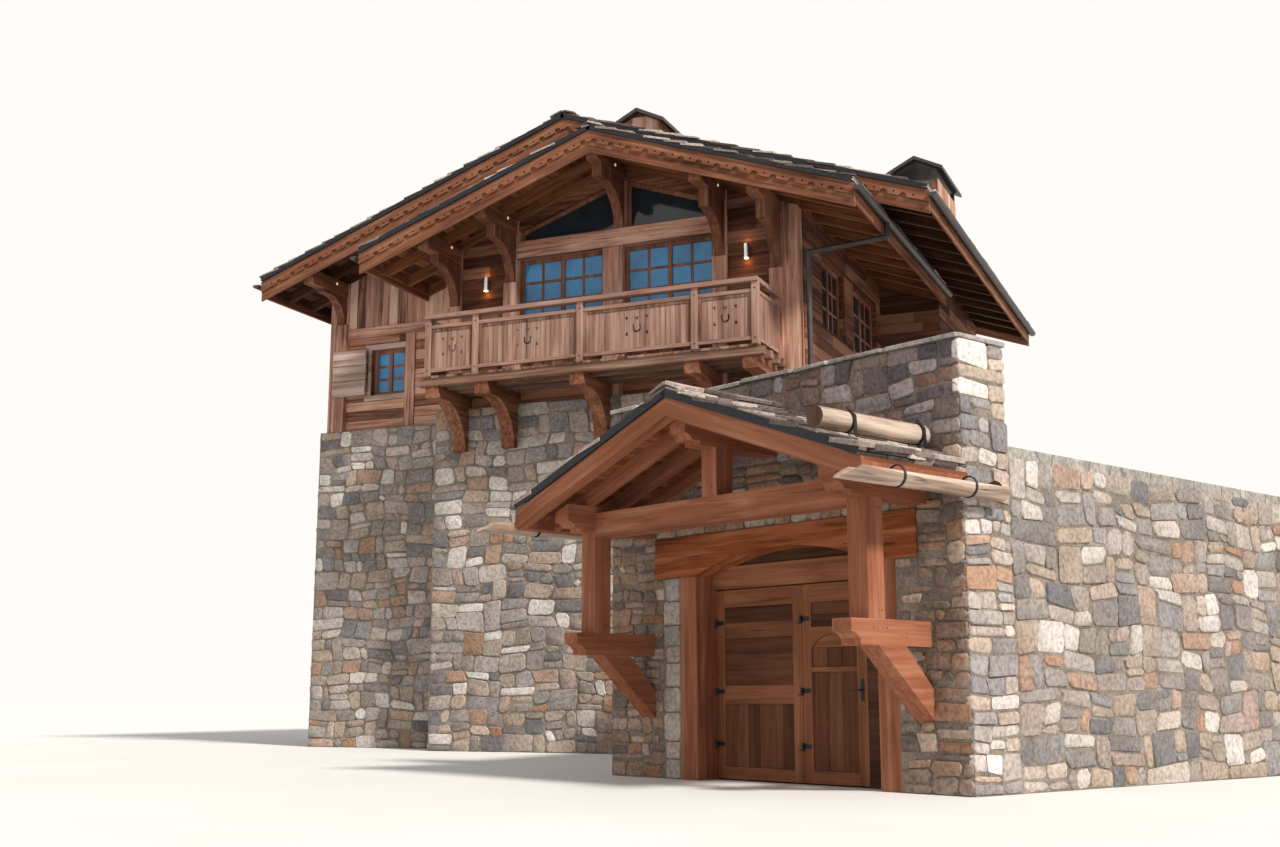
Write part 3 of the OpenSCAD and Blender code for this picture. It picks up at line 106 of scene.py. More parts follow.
def garage_point(x: float, y: float, z: float = 0.0) -> Point:
    """Gives the house place of a point of the garage's own plan."""
    w = garage_way(x, y, z)
    return (GARAGE_ORIGIN[0] + w[0], GARAGE_ORIGIN[1] + w[1], z)


@dataclass(frozen=True)
class Plane:
    """A flat surface with two directions; their cross product points outwards."""

    origin: Point
    along: Point
    up: Point = (0.0, 0.0, 1.0)

    def at(self, u: float, v: float, out: float = 0.0) -> np.ndarray:
        """Gives the place at distances along the surface, up it and in front of it."""
        a, b = np.array(self.along), np.array(self.up)
        return np.array(self.origin) + a * u + b * v + np.cross(a, b) * out

    def quad(self, r: Rect, out: Sequence[float] = (0.0, 0.0, 0.0, 0.0)) -> list[np.ndarray]:
        """Gives the corners of a rectangle from its lower left round, each a distance in front."""
        places = ((r[0], r[2]), (r[1], r[2]), (r[1], r[3]), (r[0], r[3]))
        return [self.at(u, v, o) for (u, v), o in zip(places, out)]


class Facing(Enum):
    """The side that an upright wall looks to, with the direction from its left to its right."""

    FRONT = (1.0, 0.0)
    RIGHT = (0.0, 1.0)
    BACK = (-1.0, 0.0)
    LEFT = (0.0, -1.0)


def house_plane(facing: Facing, x: float, y: float) -> Plane:
    """Makes an upright plane from its left end in the house plan."""
    return Plane((x, y, 0.0), (*facing.value, 0.0))


def garage_plane(facing: Facing, x: float, y: float, z: float = 0.0) -> Plane:
    """Makes an upright plane from its lower left corner in the garage's plan."""
    return Plane(garage_point(x, y, z), garage_way(*facing.value))


def garage_top(x: float, y: float, z: float) -> Plane:
    """Makes a level plane that looks up, from a corner in the garage's plan."""
    return Plane(garage_point(x, y, z), garage_way(1, 0), garage_way(0, 1))


@dataclass
class Shape:
    """A modelled block whose copies are fitted to their places."""

    verts: np.ndarray
    faces: list[tuple[int, ...]]


def clear_selection() -> None:
    """Deselects every object."""
    if bpy.context.object and bpy.context.object.mode != "OBJECT":
        bpy.ops.object.mode_set(mode="OBJECT")
    bpy.ops.object.select_all(action="DESELECT")


def add_object(name: str, data: bpy.types.ID) -> bpy.types.Object:
    """Adds an object to the scene.

    Args:
        name: Name of the object.
        data: Its mesh, lamp or camera.

    Returns:
        The new object.
    """
    thing = bpy.data.objects.new(name, data)
    bpy.context.scene.collection.objects.link(thing)
    return thing


def select_where(mesh: bpy.types.Mesh, edges: Test, faces: Test) -> None:
    """Selects edges by their direction or faces by their normal.

    Args:
        mesh: The mesh, while its object is in object mode.
        edges: Test of an edge's direction, or None.
        faces: Test of a face's normal, or None.
    """
    spots = [v.co for v in mesh.vertices]
    for v in mesh.vertices:
        v.select = False
    for e in mesh.edges:
        way = (spots[e.vertices[1]] - spots[e.vertices[0]]).normalized()
        e.select = bool(edges and edges(way))
    for f in mesh.polygons:
        f.select = bool(faces and faces(f.normal))


def model_block(bevel: float, corner: float = 0.0, rough: float = 0.0, steps: int = 1,
                seed: int = 1) -> Shape:
    """Models one block: cut corners, a bevelled front and an uneven surface.

    Args:
        bevel: Width of the bevel round the front in metres.
        corner: Width of the cut at the four upright corners.
        rough: Largest random move of a corner.
        steps: Steps of the bevel.
        seed: Seed of the random moves.

    Returns:
        The block, centred and one metre wide each way, with its front on top.
    """
    clear_selection()
    bpy.ops.mesh.primitive_cube_add(size=1.0)
    cube = bpy.context.object
    bpy.ops.object.mode_set(mode="EDIT")
    bpy.ops.mesh.select_all(action="DESELECT")
    if corner:
        bpy.ops.mesh.select_mode(type="EDGE")
        bpy.ops.object.mode_set(mode="OBJECT")
        select_where(cube.data, lambda way: abs(way.z) > STRAIGHT, None)
        bpy.ops.object.mode_set(mode="EDIT")
        bpy.ops.mesh.bevel(offset=corner, segments=1)
    bpy.ops.mesh.select_mode(type="FACE")
    bpy.ops.object.mode_set(mode="OBJECT")
    select_where(cube.data, None, lambda normal: normal.z > STRAIGHT)
    bpy.ops.object.mode_set(mode="EDIT")
    bpy.ops.mesh.bevel(offset=bevel, segments=steps)
    bpy.ops.mesh.select_mode(type="VERT")
    bpy.ops.mesh.select_all(action="SELECT")
    if rough:
        bpy.ops.transform.vertex_random(offset=rough, seed=seed)
    bpy.ops.mesh.normals_make_consistent(inside=False)
    bpy.ops.object.mode_set(mode="OBJECT")
    verts = np.array([tuple(v.co) for v in cube.data.vertices])
    faces = [tuple(p.vertices) for p in cube.data.polygons]
    bpy.data.objects.remove(cube)
    return Shape(verts, faces)


def model_blocks(bevel: float, corners: Sequence[float], rough: float, steps: int, seed: int) -> list[Shape]:
    """Models blocks with these cut corners, the first with the given seed."""
    return [model_block(bevel, corner, rough, steps, s) for s, corner in enumerate(corners, seed)]


def inset_share(x: np.ndarray, size: float) -> np.ndarray:
    """Keeps a block's bevel at its real width when the block is stretched to a size."""
    least_size, widest_bevel = 1e-4, 0.45
    return np.sign(x) * (0.5 - np.minimum((0.5 - np.abs(x)) / max(size, least_size), widest_bevel))


class Pile:
    """Copies of blocks that are gathered into one piece."""

    def __init__(self, name: str) -> None:
        """Starts an empty pile with the piece's name.

        Args:
            name: Name of the piece.
        """
        self.name = name
        self.verts: list[np.ndarray] = []
        self.faces: list[tuple[int, ...]] = []
        self.tones: list[float] = []
        self.count = 0

    def lay(self, shape: Shape, corners: Sequence[np.ndarray], thick: float, tone: float = 0.5) -> None:
        """Fits one copy of a block to four corners of its front face.

        Args:
            shape: The block.
            corners: Corners of the front, from the lower left round.
            thick: Depth of the block behind its front.
            tone: Shade of this copy from 0 to 1.
        """
        c = [np.asarray(p, float) for p in corners]
        wide = (np.linalg.norm(c[1] - c[0]) + np.linalg.norm(c[2] - c[3])) / 2
        high = (np.linalg.norm(c[3] - c[0]) + np.linalg.norm(c[2] - c[1])) / 2
        n = np.cross(c[2] - c[0], c[3] - c[1])
        n /= max(np.linalg.norm(n), 1e-9)
        s = (inset_share(shape.verts[:, 0], wide) + 0.5)[:, None]
        t = (inset_share(shape.verts[:, 1], high) + 0.5)[:, None]
        d = (inset_share(shape.verts[:, 2], thick) - 0.5)[:, None] * thick
        p = (1 - s) * (1 - t) * c[0] + s * (1 - t) * c[1] + s * t * c[2] + (1 - s) * t * c[3] + n * d
        p[:, 2] = np.maximum(p[:, 2], LOWEST)
        self.verts.append(p)
        self.faces.extend(tuple(i + self.count for i in f) for f in shape.faces)
        self.tones.extend([tone] * len(p))
        self.count += len(p)

    def panel(self, shape: Shape, plane: Plane, r: Rect, out: float, thick: float,
              tone: float = 0.5) -> None:
        """Fits one copy of a block to a rectangle of a plane, with its front out before the plane."""
        self.lay(shape, plane.quad(r, [out] * 4), thick, tone)

    def make(self, material: bpy.types.Material, slot: str, body: str = HOUSE,
             smooth: float = 0.0) -> bpy.types.Object:
        """Turns the pile into a piece that rides on a body.

        Args:
            material: Finish of the piece.
            slot: Not used.
            body: Body that carries the piece.
            smooth: Angle in degrees below which edges are smoothed, or 0 for flat faces.

        Returns:
            The new object.
        """
        mesh = bpy.data.meshes.new(self.name)
        mesh.from_pydata(np.concatenate(self.verts).tolist(), [], self.faces)
        tone = mesh.attributes.new("tone", "FLOAT", "POINT")
        tone.data.foreach_set("value", np.array(self.tones, np.float32))
        piece = add_object(self.name, mesh)
        mesh.materials.append(material)
        if smooth:
            clear_selection()
            piece.select_set(True)
            bpy.context.view_layer.objects.active = piece
            bpy.ops.object.shade_smooth_by_angle(angle=math.radians(smooth))
        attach(piece, body)
        LOG.info("%s: %d faces", self.name, len(mesh.polygons))
        return piece


class Grain(Enum):
    """Direction of the fibres in a timber finish."""

    X = 0
    Y = 1
    Z = 2


class Graph:
    """A material's node tree with short calls for the nodes used here."""

    # Sockets of the Mix node: first input, second input and output.
    COLOUR_MIX = (6, 7, 2)
    PLACE_MIX = (4, 5, 1)
    # Roughness above which a surface is matt, and the specular level on either side of it.
    MATT = 0.6
    MATT_GLEAM = 0.14
    CLEAR_GLEAM = 0.3

    def __init__(self, name: str) -> None:
        """Starts a material with a principled shader and its output.

        Args:
            name: Name of the finish.
        """
        self.material = bpy.data.materials.new(name)
        self.material.use_nodes = True
        self.tree = self.material.node_tree
        self.shader = self.tree.nodes["Principled BSDF"]

    def node(self, kind: str, **settings: object) -> bpy.types.Node:
        """Adds a node and sets its properties.

        Args:
            kind: Type of the node.
            **settings: Its properties.

        Returns:
            The node.
        """
        n = self.tree.nodes.new(kind)
        for key, value in settings.items():
            setattr(n, key, value)
        return n

    def feed(self, value: Value, socket: Socket) -> None:
        """Links a socket, or writes a plain value into the target.

        Args:
            value: A socket or a plain value.
            socket: The target.
        """
        if isinstance(value, Socket):
            self.tree.links.new(value, socket)
        else:
            socket.default_value = value

    def run(self, kind: str, inputs: Sequence[Value], **settings: object) -> Sequence[Socket]:
        """Adds a node and feeds its first inputs.

        Args:
            kind: Type of the node.
            inputs: Sockets or plain values, in the order of the node's inputs.
            **settings: Its properties.

        Returns:
            The node's outputs.
        """
        n = self.node(kind, **settings)
        for value, socket in zip(inputs, n.inputs):
            self.feed(value, socket)
        return n.outputs

    def math(self, operation: str, a: Value, b: Value = 0.0) -> Socket:
        """Adds a math node of two values and gives its result."""
        return self.run("ShaderNodeMath", (a, b), operation=operation)[0]

    def weigh(self, *terms: tuple[Socket, float]) -> Socket:
        """Adds up sockets.

        Args:
            *terms: Each socket with its weight.

        Returns:
            The sum's socket.
        """
        total = None
        for socket, weight in terms:
            share = self.math("MULTIPLY", socket, weight)
            total = share if total is None else self.math("ADD", total, share)
        return total

    def nudge(self, value: Socket, chance: Socket, reach: float) -> Socket:
        """Moves a value up or down by a chance from 0 to 1, within a range as wide as reach."""
        return self.math("ADD", value, self.math("MULTIPLY", self.math("SUBTRACT", chance, 0.5), reach))

    def noise(self, vector: Socket, scale: float, detail: float, twist: float = 0.0) -> Socket:
        """Adds a noise texture and gives its value.

        Args:
            vector: Place that is read.
            scale: Scale of the noise.
            detail: Steps of detail.
            twist: Distortion.

        Returns:
            The new output socket.
        """
        n = self.node("ShaderNodeTexNoise")
        for key, value in (("Vector", vector), ("Scale", scale), ("Detail", detail), ("Distortion", twist)):
            self.feed(value, n.inputs[key])
        return n.outputs[0]

    def ramp(self, value: Socket, stops: Sequence[tuple[float, Colour]]) -> Socket:
        """Adds a colour ramp with the given stops.

        Args:
            value: Socket that drives it.
            stops: Places and colours.

        Returns:
            The new output socket.
        """
        n = self.node("ShaderNodeValToRGB")
        self.feed(value, n.inputs[0])
        band = n.color_ramp.elements
        while len(band) < len(stops):
            band.new(0.5)
        for element, stop in zip(band, stops):
            element.position = stop[0]
        for element, stop in zip(band, stops):
            element.color = (*stop[1], 1.0)
        return n.outputs[0]

    def mix(self, sockets: tuple[int, int, int], share: Value, a: Value, b: Value,
            **settings: str) -> Socket:
        """Mixes two colours or two places.

        Args:
            sockets: COLOUR_MIX or PLACE_MIX.
            share: Share of the second one.
            a: The first one.
            b: The second one.
            **settings: Properties of the Mix node.

        Returns:
            The new output socket.
        """
        n = self.node("ShaderNodeMix", **settings)
        for value, socket in ((share, 0), (a, sockets[0]), (b, sockets[1])):
            self.feed(value, n.inputs[socket])
        return n.outputs[sockets[2]]

    def blend(self, share: Value, a: Value, b: Value, kind: str = "MIX") -> Socket:
        """Mixes two colours by the share of the second one."""
        return self.mix(self.COLOUR_MIX, share, a, b, data_type="RGBA", blend_type=kind)

    def tone(self) -> Socket:
        """Reads the shade that each copy of a block carries."""
        return self.node("ShaderNodeAttribute", attribute_name="tone").outputs["Fac"]

    def place(self, turned: bool = False) -> Socket:
        """Gives the object place, in the garage's own plan if it is turned.

        Args:
            turned: True for the garage's plan.

        Returns:
            The new output socket.
        """
        coords = self.node("ShaderNodeTexCoord").outputs["Object"]
        if not turned:
            return coords
        n = self.node("ShaderNodeMapping", vector_type="TEXTURE")
        self.feed(coords, n.inputs["Vector"])
        n.inputs["Location"].default_value = (*GARAGE_ORIGIN, 0.0)
        n.inputs["Rotation"].default_value = (0.0, 0.0, TURN)
        return n.outputs[0]

    def stretch(self, vector: Socket, scale: Sequence[float]) -> Socket:
        """Scales a place by factors along X, Y and Z."""
        return self.run("ShaderNodeVectorMath", (vector, tuple(scale)), operation="MULTIPLY")[0]

    def split(self, vector: Socket) -> list[Socket]:
        """Gives X, Y and Z of a place."""
        return list(self.run("ShaderNodeSeparateXYZ", (vector,)))

    def gather(self, x: Socket, y: Socket, z: Socket) -> Socket:
        """Makes a place from X, Y and Z."""
        return self.run("ShaderNodeCombineXYZ", (x, y, z))[0]

    def lean(self, vector: Socket, ridge: float, slope: float) -> Socket:
        """Shears a place so that a sloping board reads as a level one.

        Args:
            vector: The place.
            ridge: X of the ridge.
            slope: Rise for each unit of run.

        Returns:
            The new output socket.
        """
        x, y, z = self.split(vector)
        away = self.math("ABSOLUTE", self.math("SUBTRACT", x, ridge))
        return self.gather(x, y, self.math("ADD", z, self.math("MULTIPLY", away, slope)))

    def finish(self, colour: Socket | Colour, rough: float, height: Socket | None = None,
               strength: float = 0.3, depth: float = 0.01) -> bpy.types.Material:
        """Connects colour, roughness and bump, and gives the material.

        Args:
            colour: Socket or plain colour.
            rough: Roughness.
            height: Socket of the bump's height, or None.
            strength: Strength of the bump.
            depth: Depth of the bump in metres.

        Returns:
            The finished material.
        """
        inputs = self.shader.inputs
        self.feed(colour if isinstance(colour, Socket) else (*colour, 1.0), inputs["Base Color"])
        inputs["Roughness"].default_value = rough
        gleam = self.MATT_GLEAM if rough > self.MATT else self.CLEAR_GLEAM
        inputs["Specular IOR Level"].default_value = gleam
        if height is not None:
            n = self.node("ShaderNodeBump")
            for key, value in (("Strength", strength), ("Distance", depth), ("Height", height)):
                self.feed(value, n.inputs[key])
            self.feed(n.outputs[0], inputs["Normal"])
        return self.material


@dataclass(frozen=True)
class Streak:
    """A noise drawn out along the fibres, by its scales across and along them."""

    across: float
    along: float
    detail: float
    twist: float

    def noise(self, g: Graph, here: Socket, grain: Grain) -> Socket:
        """Adds the noise to a finish.

        Args:
            g: The node tree.
            here: Place that is read.
            grain: Direction of the fibres.

        Returns:
            The new output socket.
        """
        scale = [self.across] * 3
        scale[grain.value] = self.along
        return g.noise(g.stretch(here, scale), 1.0, self.detail, self.twist)


@dataclass(frozen=True)
class Timber:
    """Weathered timber with fibres, cracks and, if asked, board joints."""

    name: str
    dark: Colour
    mid: Colour
    light: Colour
    grain: Grain = Grain.X
    garage: bool = False
    slope: Span | None = None
    toned: bool = False
    board: float = 0.0
    across: Grain = Grain.Z
    rough: float = 0.72
    contrast: float = 1.0
    cracks: float = 0.75
    seam: float = 0.75
    shift: float = 0.26
    rails: tuple[Rect, ...] = ()

    # Fine fibres, wide bands and dark cracks.
    FIBRE = Streak(16.0, 0.9, 7.0, 0.8)
    BAND = Streak(6.5, 0.45, 3.0, 0.5)
    CRACK = Streak(30.0, 1.3, 4.0, 1.4)
    CRACK_STOPS = ((0.30, (0.30, 0.28, 0.27)), (0.38, (1.0, 1.0, 1.0)))
    # Shares of fibres, patches and bands in the shade, and the range of shades between copies.
    FIBRE_SHARE, PATCH_SHARE, BAND_SHARE = 0.46, 0.22, 0.32
    TONE_RANGE = 0.34
    # Distance of the dark and the light stop from the middle one.
    REACH = 0.165
    # Width of the joint between boards in metres, its colour, and its depth in fibre heights.
    JOINT = 0.012
    JOINT_COLOUR = (0.02, 0.012, 0.008, 1.0)
    JOINT_DEPTH = 1.2

    def crossed(self, g: Graph, here: Socket) -> Socket:
        """Swaps X and Z inside the rails, where the fibres run the other way.

        Args:
            g: The node tree.
            here: The place to swap.

        Returns:
            The place with the rails turned.
        """
        x, y, z = g.split(here)
        mask = None
        for r in self.rails:
            near = [g.math("LESS_THAN", g.math("ABSOLUTE", g.math("SUBTRACT", v, (a + b) / 2)), (b - a) / 2)
                    for v, a, b in ((x, r[0], r[1]), (z, r[2], r[3]))]
            inside = g.math("MULTIPLY", *near)
            mask = inside if mask is None else g.math("MAXIMUM", mask, inside)
        return g.mix(g.PLACE_MIX, mask, here, g.gather(z, y, x), data_type="VECTOR")

    def material(self) -> bpy.types.Material:
        """Builds the finish.

        Returns:
            The material.
        """
        g = Graph(self.name)
        here = g.place(self.garage)
        if self.slope:
            here = g.lean(here, *self.slope)
        if self.rails:
            here = self.crossed(g, here)
        fibre = self.FIBRE.noise(g, here, self.grain)
        patch = g.noise(here, 1.1, 3.0)
        band = self.BAND.noise(g, here, self.grain)
        value = g.weigh((fibre, self.FIBRE_SHARE), (patch, self.PATCH_SHARE), (band, self.BAND_SHARE))
        if self.toned:
            value = g.nudge(value, g.tone(), self.TONE_RANGE)
        if self.board:
            count = g.math("DIVIDE", g.split(here)[self.across.value], self.board)
            which = g.node("ShaderNodeTexWhiteNoise", noise_dimensions="1D")
            g.feed(g.math("FLOOR", count), which.inputs["W"])
            value = g.nudge(value, which.outputs[0], self.shift)
        reach = self.REACH / self.contrast
        colour = g.ramp(value, ((0.5 - reach, self.dark), (0.5, self.mid), (0.5 + reach, self.light)))
        crack = g.ramp(self.CRACK.noise(g, here, self.grain), self.CRACK_STOPS)
        colour = g.blend(self.cracks, colour, crack, "MULTIPLY")
        height = fibre
        if self.board:
            joint = g.math("LESS_THAN", g.math("FRACT", count), self.JOINT / self.board)
            colour = g.blend(g.math("MULTIPLY", joint, self.seam), colour, self.JOINT_COLOUR)
            height = g.math("SUBTRACT", fibre, g.math("MULTIPLY", joint, self.JOINT_DEPTH))
        return g.finish(colour, self.rough, height, strength=0.45, depth=0.006)


@dataclass(frozen=True)
class Masonry:
    """Stone whose shade changes from one block to the next."""

    name: str
    stops: Stops
    toned: bool = True
    rough: float = 0.9
    speck: float = 22.0
    flags: float = 0.0

    # Shades of the fine grit and of the large stains.
    GRIT = ((0.30, (0.55, 0.55, 0.56)), (0.52, (0.95, 0.95, 0.95)), (0.72, (1.25, 1.22, 1.18)))
    STAIN = ((0.42, (0.78, 0.77, 0.74)), (0.58, (1.0, 1.0, 1.0)))
    # Joint between paving flags: half its width over a flag's, its share and its colour.
    JOINT = 0.022
    JOINT_SHARE = 0.6
    JOINT_COLOUR = (0.10, 0.09, 0.08, 1.0)

    def material(self) -> bpy.types.Material:
        """Builds the finish.

        Returns:
            The material.
        """
        g = Graph(self.name)
        here = g.place()
        coarse = g.noise(here, 5.0, 5.0)
        fine = g.noise(here, self.speck, 8.0)
        colour = g.ramp(g.tone() if self.toned else coarse, self.stops)
        colour = g.blend(0.9, colour, g.ramp(fine, self.GRIT), "MULTIPLY")
        colour = g.blend(0.7, colour, g.ramp(g.noise(here, 2.3, 4.0), self.STAIN), "MULTIPLY")
        height = g.math("ADD", g.math("MULTIPLY", coarse, 0.6), fine)
        if self.flags:
            edge = g.node("ShaderNodeTexVoronoi", feature="DISTANCE_TO_EDGE")
            g.feed(here, edge.inputs["Vector"])
            edge.inputs["Scale"].default_value = self.flags
            joint = g.math("LESS_THAN", edge.outputs["Distance"], self.JOINT)
            colour = g.blend(g.math("MULTIPLY", joint, self.JOINT_SHARE), colour, self.JOINT_COLOUR)
            height = g.math("SUBTRACT", height, joint)
        return g.finish(colour, self.rough, height, strength=0.55, depth=0.02)


@dataclass(frozen=True)
class Metal:
    """Painted or bare metal with faint wear."""

    name: str
    colour: Colour
    rough: float
    metallic: float = 0.0

    # Factor of the colour where it is worn.
    WORN = 0.72

    def material(self) -> bpy.types.Material:
        """Builds the finish.

        Returns:
            The material.
        """
        g = Graph(self.name)
        here = g.place()
        worn = tuple(c * self.WORN for c in self.colour)
        colour = g.ramp(g.noise(here, 9.0, 5.0), ((0.35, worn), (0.62, self.colour)))
        g.shader.inputs["Metallic"].default_value = self.metallic
        return g.finish(colour, self.rough, g.noise(here, 60.0, 3.0), strength=0.12, depth=0.002)


@dataclass(frozen=True)
class Pane:
    """Window glass whose blue colour is a painted reflection of the sky."""

    name: str
    colour: Colour = (0.042, 0.280, 0.600)
    rough: float = 0.08

    # Factor of the colour in the darker patches of the painted sky reflection.
    DARK_REFLECTION = 0.62

    def material(self) -> bpy.types.Material:
        """Builds the finish.

        Returns:
            The material.
        """
        g = Graph(self.name)
        wave = g.noise(g.place(), 1.6, 2.0)
        dark_reflection = tuple(c * self.DARK_REFLECTION for c in self.colour)
        g.shader.inputs["Coat Weight"].default_value = 0.15
        g.shader.inputs["Coat Roughness"].default_value = 0.03
        return g.finish(g.ramp(wave, ((0.35, dark_reflection), (0.65, self.colour))), self.rough, wave, strength=0.03)


@dataclass(frozen=True)
class Glow:
    """The warm light at a lamp's mouth."""

    name: str
    colour: Colour = (1.0, 0.62, 0.32)
    strength: float = 2.2

    # Colour of the brightest spots and of the lamp's mouth without its light.
    BRIGHT = (1.0, 0.8, 0.55)
    UNLIT = (0.9, 0.75, 0.6)

    def material(self) -> bpy.types.Material:
        """Builds the finish.

        Returns:
            The material.
        """
        g = Graph(self.name)
        light = g.ramp(g.noise(g.place(), 30.0, 2.0), ((0.3, self.colour), (0.7, self.BRIGHT)))
        g.feed(light, g.shader.inputs["Emission Color"])
        g.shader.inputs["Emission Strength"].default_value = self.strength
        return g.finish(self.UNLIT, 0.5)


def cut_rect(r: Rect, hole: Rect) -> list[Rect]:
    """Cuts a rectangle by another one.

    Args:
        r: The rectangle to keep.
        hole: The rectangle to take away.

    Returns:
        What is left, as up to four rectangles.
    """
    if hole[0] >= r[1] or hole[1] <= r[0] or hole[2] >= r[3] or hole[3] <= r[2]:
        return [r]
    low, high = max(r[2], hole[2]), min(r[3], hole[3])
    beside = [(r[0], hole[0], low, high), (hole[1], r[1], low, high)]
    below_and_above = [(r[0], r[1], r[2], low), (r[0], r[1], high, r[3])]
    return [q for q in beside + below_and_above if q[1] - q[0] > 1e-6 and q[3] - q[2] > 1e-6]


def cut_all(rects: Sequence[Rect], holes: Sequence[Rect], least: float) -> list[Rect]:
    """Cuts rectangles by all holes and drops what is too thin.

    Args:
        rects: Rectangles to keep.
        holes: Rectangles to take away.
        least: Smallest side that is kept.

    Returns:
        The rectangles left.
    """
    kept = list(rects)
    for hole in holes:
        kept = [q for r in kept for q in cut_rect(r, hole)]
    return [r for r in kept if r[1] - r[0] > least and r[3] - r[2] > least]


@dataclass
class RubbleWall:
    """A wall face of squared rubble in uneven courses.

    Size is the usual side of a stone, flat how much wider than high the stones are, and proud how far
    the foremost stone stands before the plane.
    """

    plane: Plane
    width: float
    height: float
    holes: tuple[Rect, ...] = ()
    size: float = 0.23
    seed: int = 1
    flat: float = 1.0
    proud: float = 0.026

    # Range of a stone's area in squares of its size, and the side in sizes below which none is split.
    AREA = (0.5, 2.9)
    WHOLE = 1.15
    # Range of the share at which a stone is split, and the shape from which the cut is upright.
    SPLIT = (0.28, 0.72)
    WIDE = 1.7
    LOW = 0.5
    # Ranges of a course's height and of a block's width before it is split, in sizes.
    COURSE = (1.5, 2.6)
    RUN = (1.9, 3.6)
    # Depth of a stone behind its front, and the smallest side of one.
    DEPTH = 0.07
    LEAST = 0.07
    # Ranges of half a joint, of a stone's front in shares of proud, and of the lean of its corners.
    JOINT = (0.005, 0.012)
    FRONT = (0.3, 1.0)
    LEAN = (-0.006, 0.006)
    # Largest random move of a corner, in sizes.
    JITTER = 0.045
    # Waves that courses follow: height in sizes, then factors of u, of v and of the seed.
    WAVES_ALONG = ((0.13, 0.0, 7.1, 1.3), (0.09, -9.0, 17.0, 1.0))
    WAVES_UP = ((0.13, 3.1, 1.7, 2.1), (0.05, 9.0, 8.0, -1.0))
    # Distance from an edge or a hole over which the waves fade out.
    FADE = 0.2

    def split(self, r: Rect, rng: random.Random) -> list[Rect]:
        """Splits a rectangle into stones of uneven size.

        Args:
            r: The rectangle.
            rng: Source of chance.

        Returns:
            The stones' rectangles.
        """
        w, h = r[1] - r[0], r[3] - r[2]
        if w * h < self.size * self.size * rng.uniform(*self.AREA) or max(w, h) < self.WHOLE * self.size:
            return [r]
        share = rng.uniform(*self.SPLIT)
        if w > h * self.WIDE * self.flat or h < self.LOW * self.size:
            cut = r[0] + w * share
            parts = [(r[0], cut, r[2], r[3]), (cut, r[1], r[2], r[3])]
        else:
            cut = r[2] + h * share
            parts = [(r[0], r[1], r[2], cut), (r[0], r[1], cut, r[3])]
        return [q for p in parts for q in self.split(p, rng)]

    def next_joint(self, start: float, end: float, reach: Span, rng: random.Random) -> float:
        """Gives the next joint after a place, and leaves no strip thinner than a stone before the end."""
        step = self.size * rng.uniform(*reach)
        return end if end - start - step < self.size else start + step

    def stones(self, rng: random.Random) -> list[Rect]:
        """Lays out all stones of the face.

        Args:
            rng: Source of chance.

        Returns:
            The stones' rectangles.
        """
        found: list[Rect] = []
        v = 0.0
        while v < self.height - 1e-6:
            top = self.next_joint(v, self.height, self.COURSE, rng)
            u = 0.0
            while u < self.width - 1e-6:
                end = self.next_joint(u, self.width, self.RUN, rng)
                found += self.split((u, end, v, top), rng)
                u = end
            v = top
        return cut_all(found, self.holes, self.LEAST)

    def wander(self, u: float, v: float) -> Span:
        """Moves a place along a slow wave, so that the courses run unevenly.

        Args:
            u: Distance along the face.
            v: Height on the face.

        Returns:
            The new place; nothing moves at an edge or an opening.
        """
        room = min(u, self.width - u, v, self.height - v)
        for h in self.holes:
            room = min(room, max(h[0] - u, u - h[1], h[2] - v, v - h[3]))
        share = min(max(room, 0.0) / self.FADE, 1.0) * self.size
        du, dv = (sum(high * math.sin(a * u + b * v + c * self.seed) for high, a, b, c in waves)
                  for waves in (self.WAVES_ALONG, self.WAVES_UP))
        return u + du * share, v + dv * share

    def build(self, pile: Pile, shapes: Sequence[Shape]) -> None:
        """Adds the face's stones to a pile.

        Args:
            pile: The pile that takes the copies.
            shapes: Blocks to choose from.
        """
        rng = random.Random(self.seed)
        jitter = self.JITTER * self.size
        for r in self.stones(rng):
            gap = rng.uniform(*self.JOINT)
            left, right, low, high = r[0] + gap, r[1] - gap, r[2] + gap, r[3] - gap
            out = rng.uniform(*self.FRONT) * self.proud
            corners = []
            for u, v in ((left, low), (right, low), (right, high), (left, high)):
                a, b = self.wander(u, v)
                shift = [rng.uniform(-jitter, jitter) for _ in range(2)]
                corners.append(self.plane.at(a + shift[0], b + shift[1], out + rng.uniform(*self.LEAN)))
            pile.lay(rng.choice(shapes), corners, self.DEPTH, rng.random())


@dataclass(frozen=True)
class GableTop:
    """The sloping top of a gable wall, with the ridge's place measured along the wall."""

    ridge: float
    peak: float
    slope: float = HOUSE_SLOPE

    def top(self, u: float) -> float:
        """Gives the height of the top at a place along the wall."""
        return self.peak - self.slope * abs(u - self.ridge)

    def ends(self, v: float) -> Span:
        """Gives the places along the wall where the top crosses a height."""
        run = max((self.peak - v) / self.slope, 0.0)
        return self.ridge - run, self.ridge + run


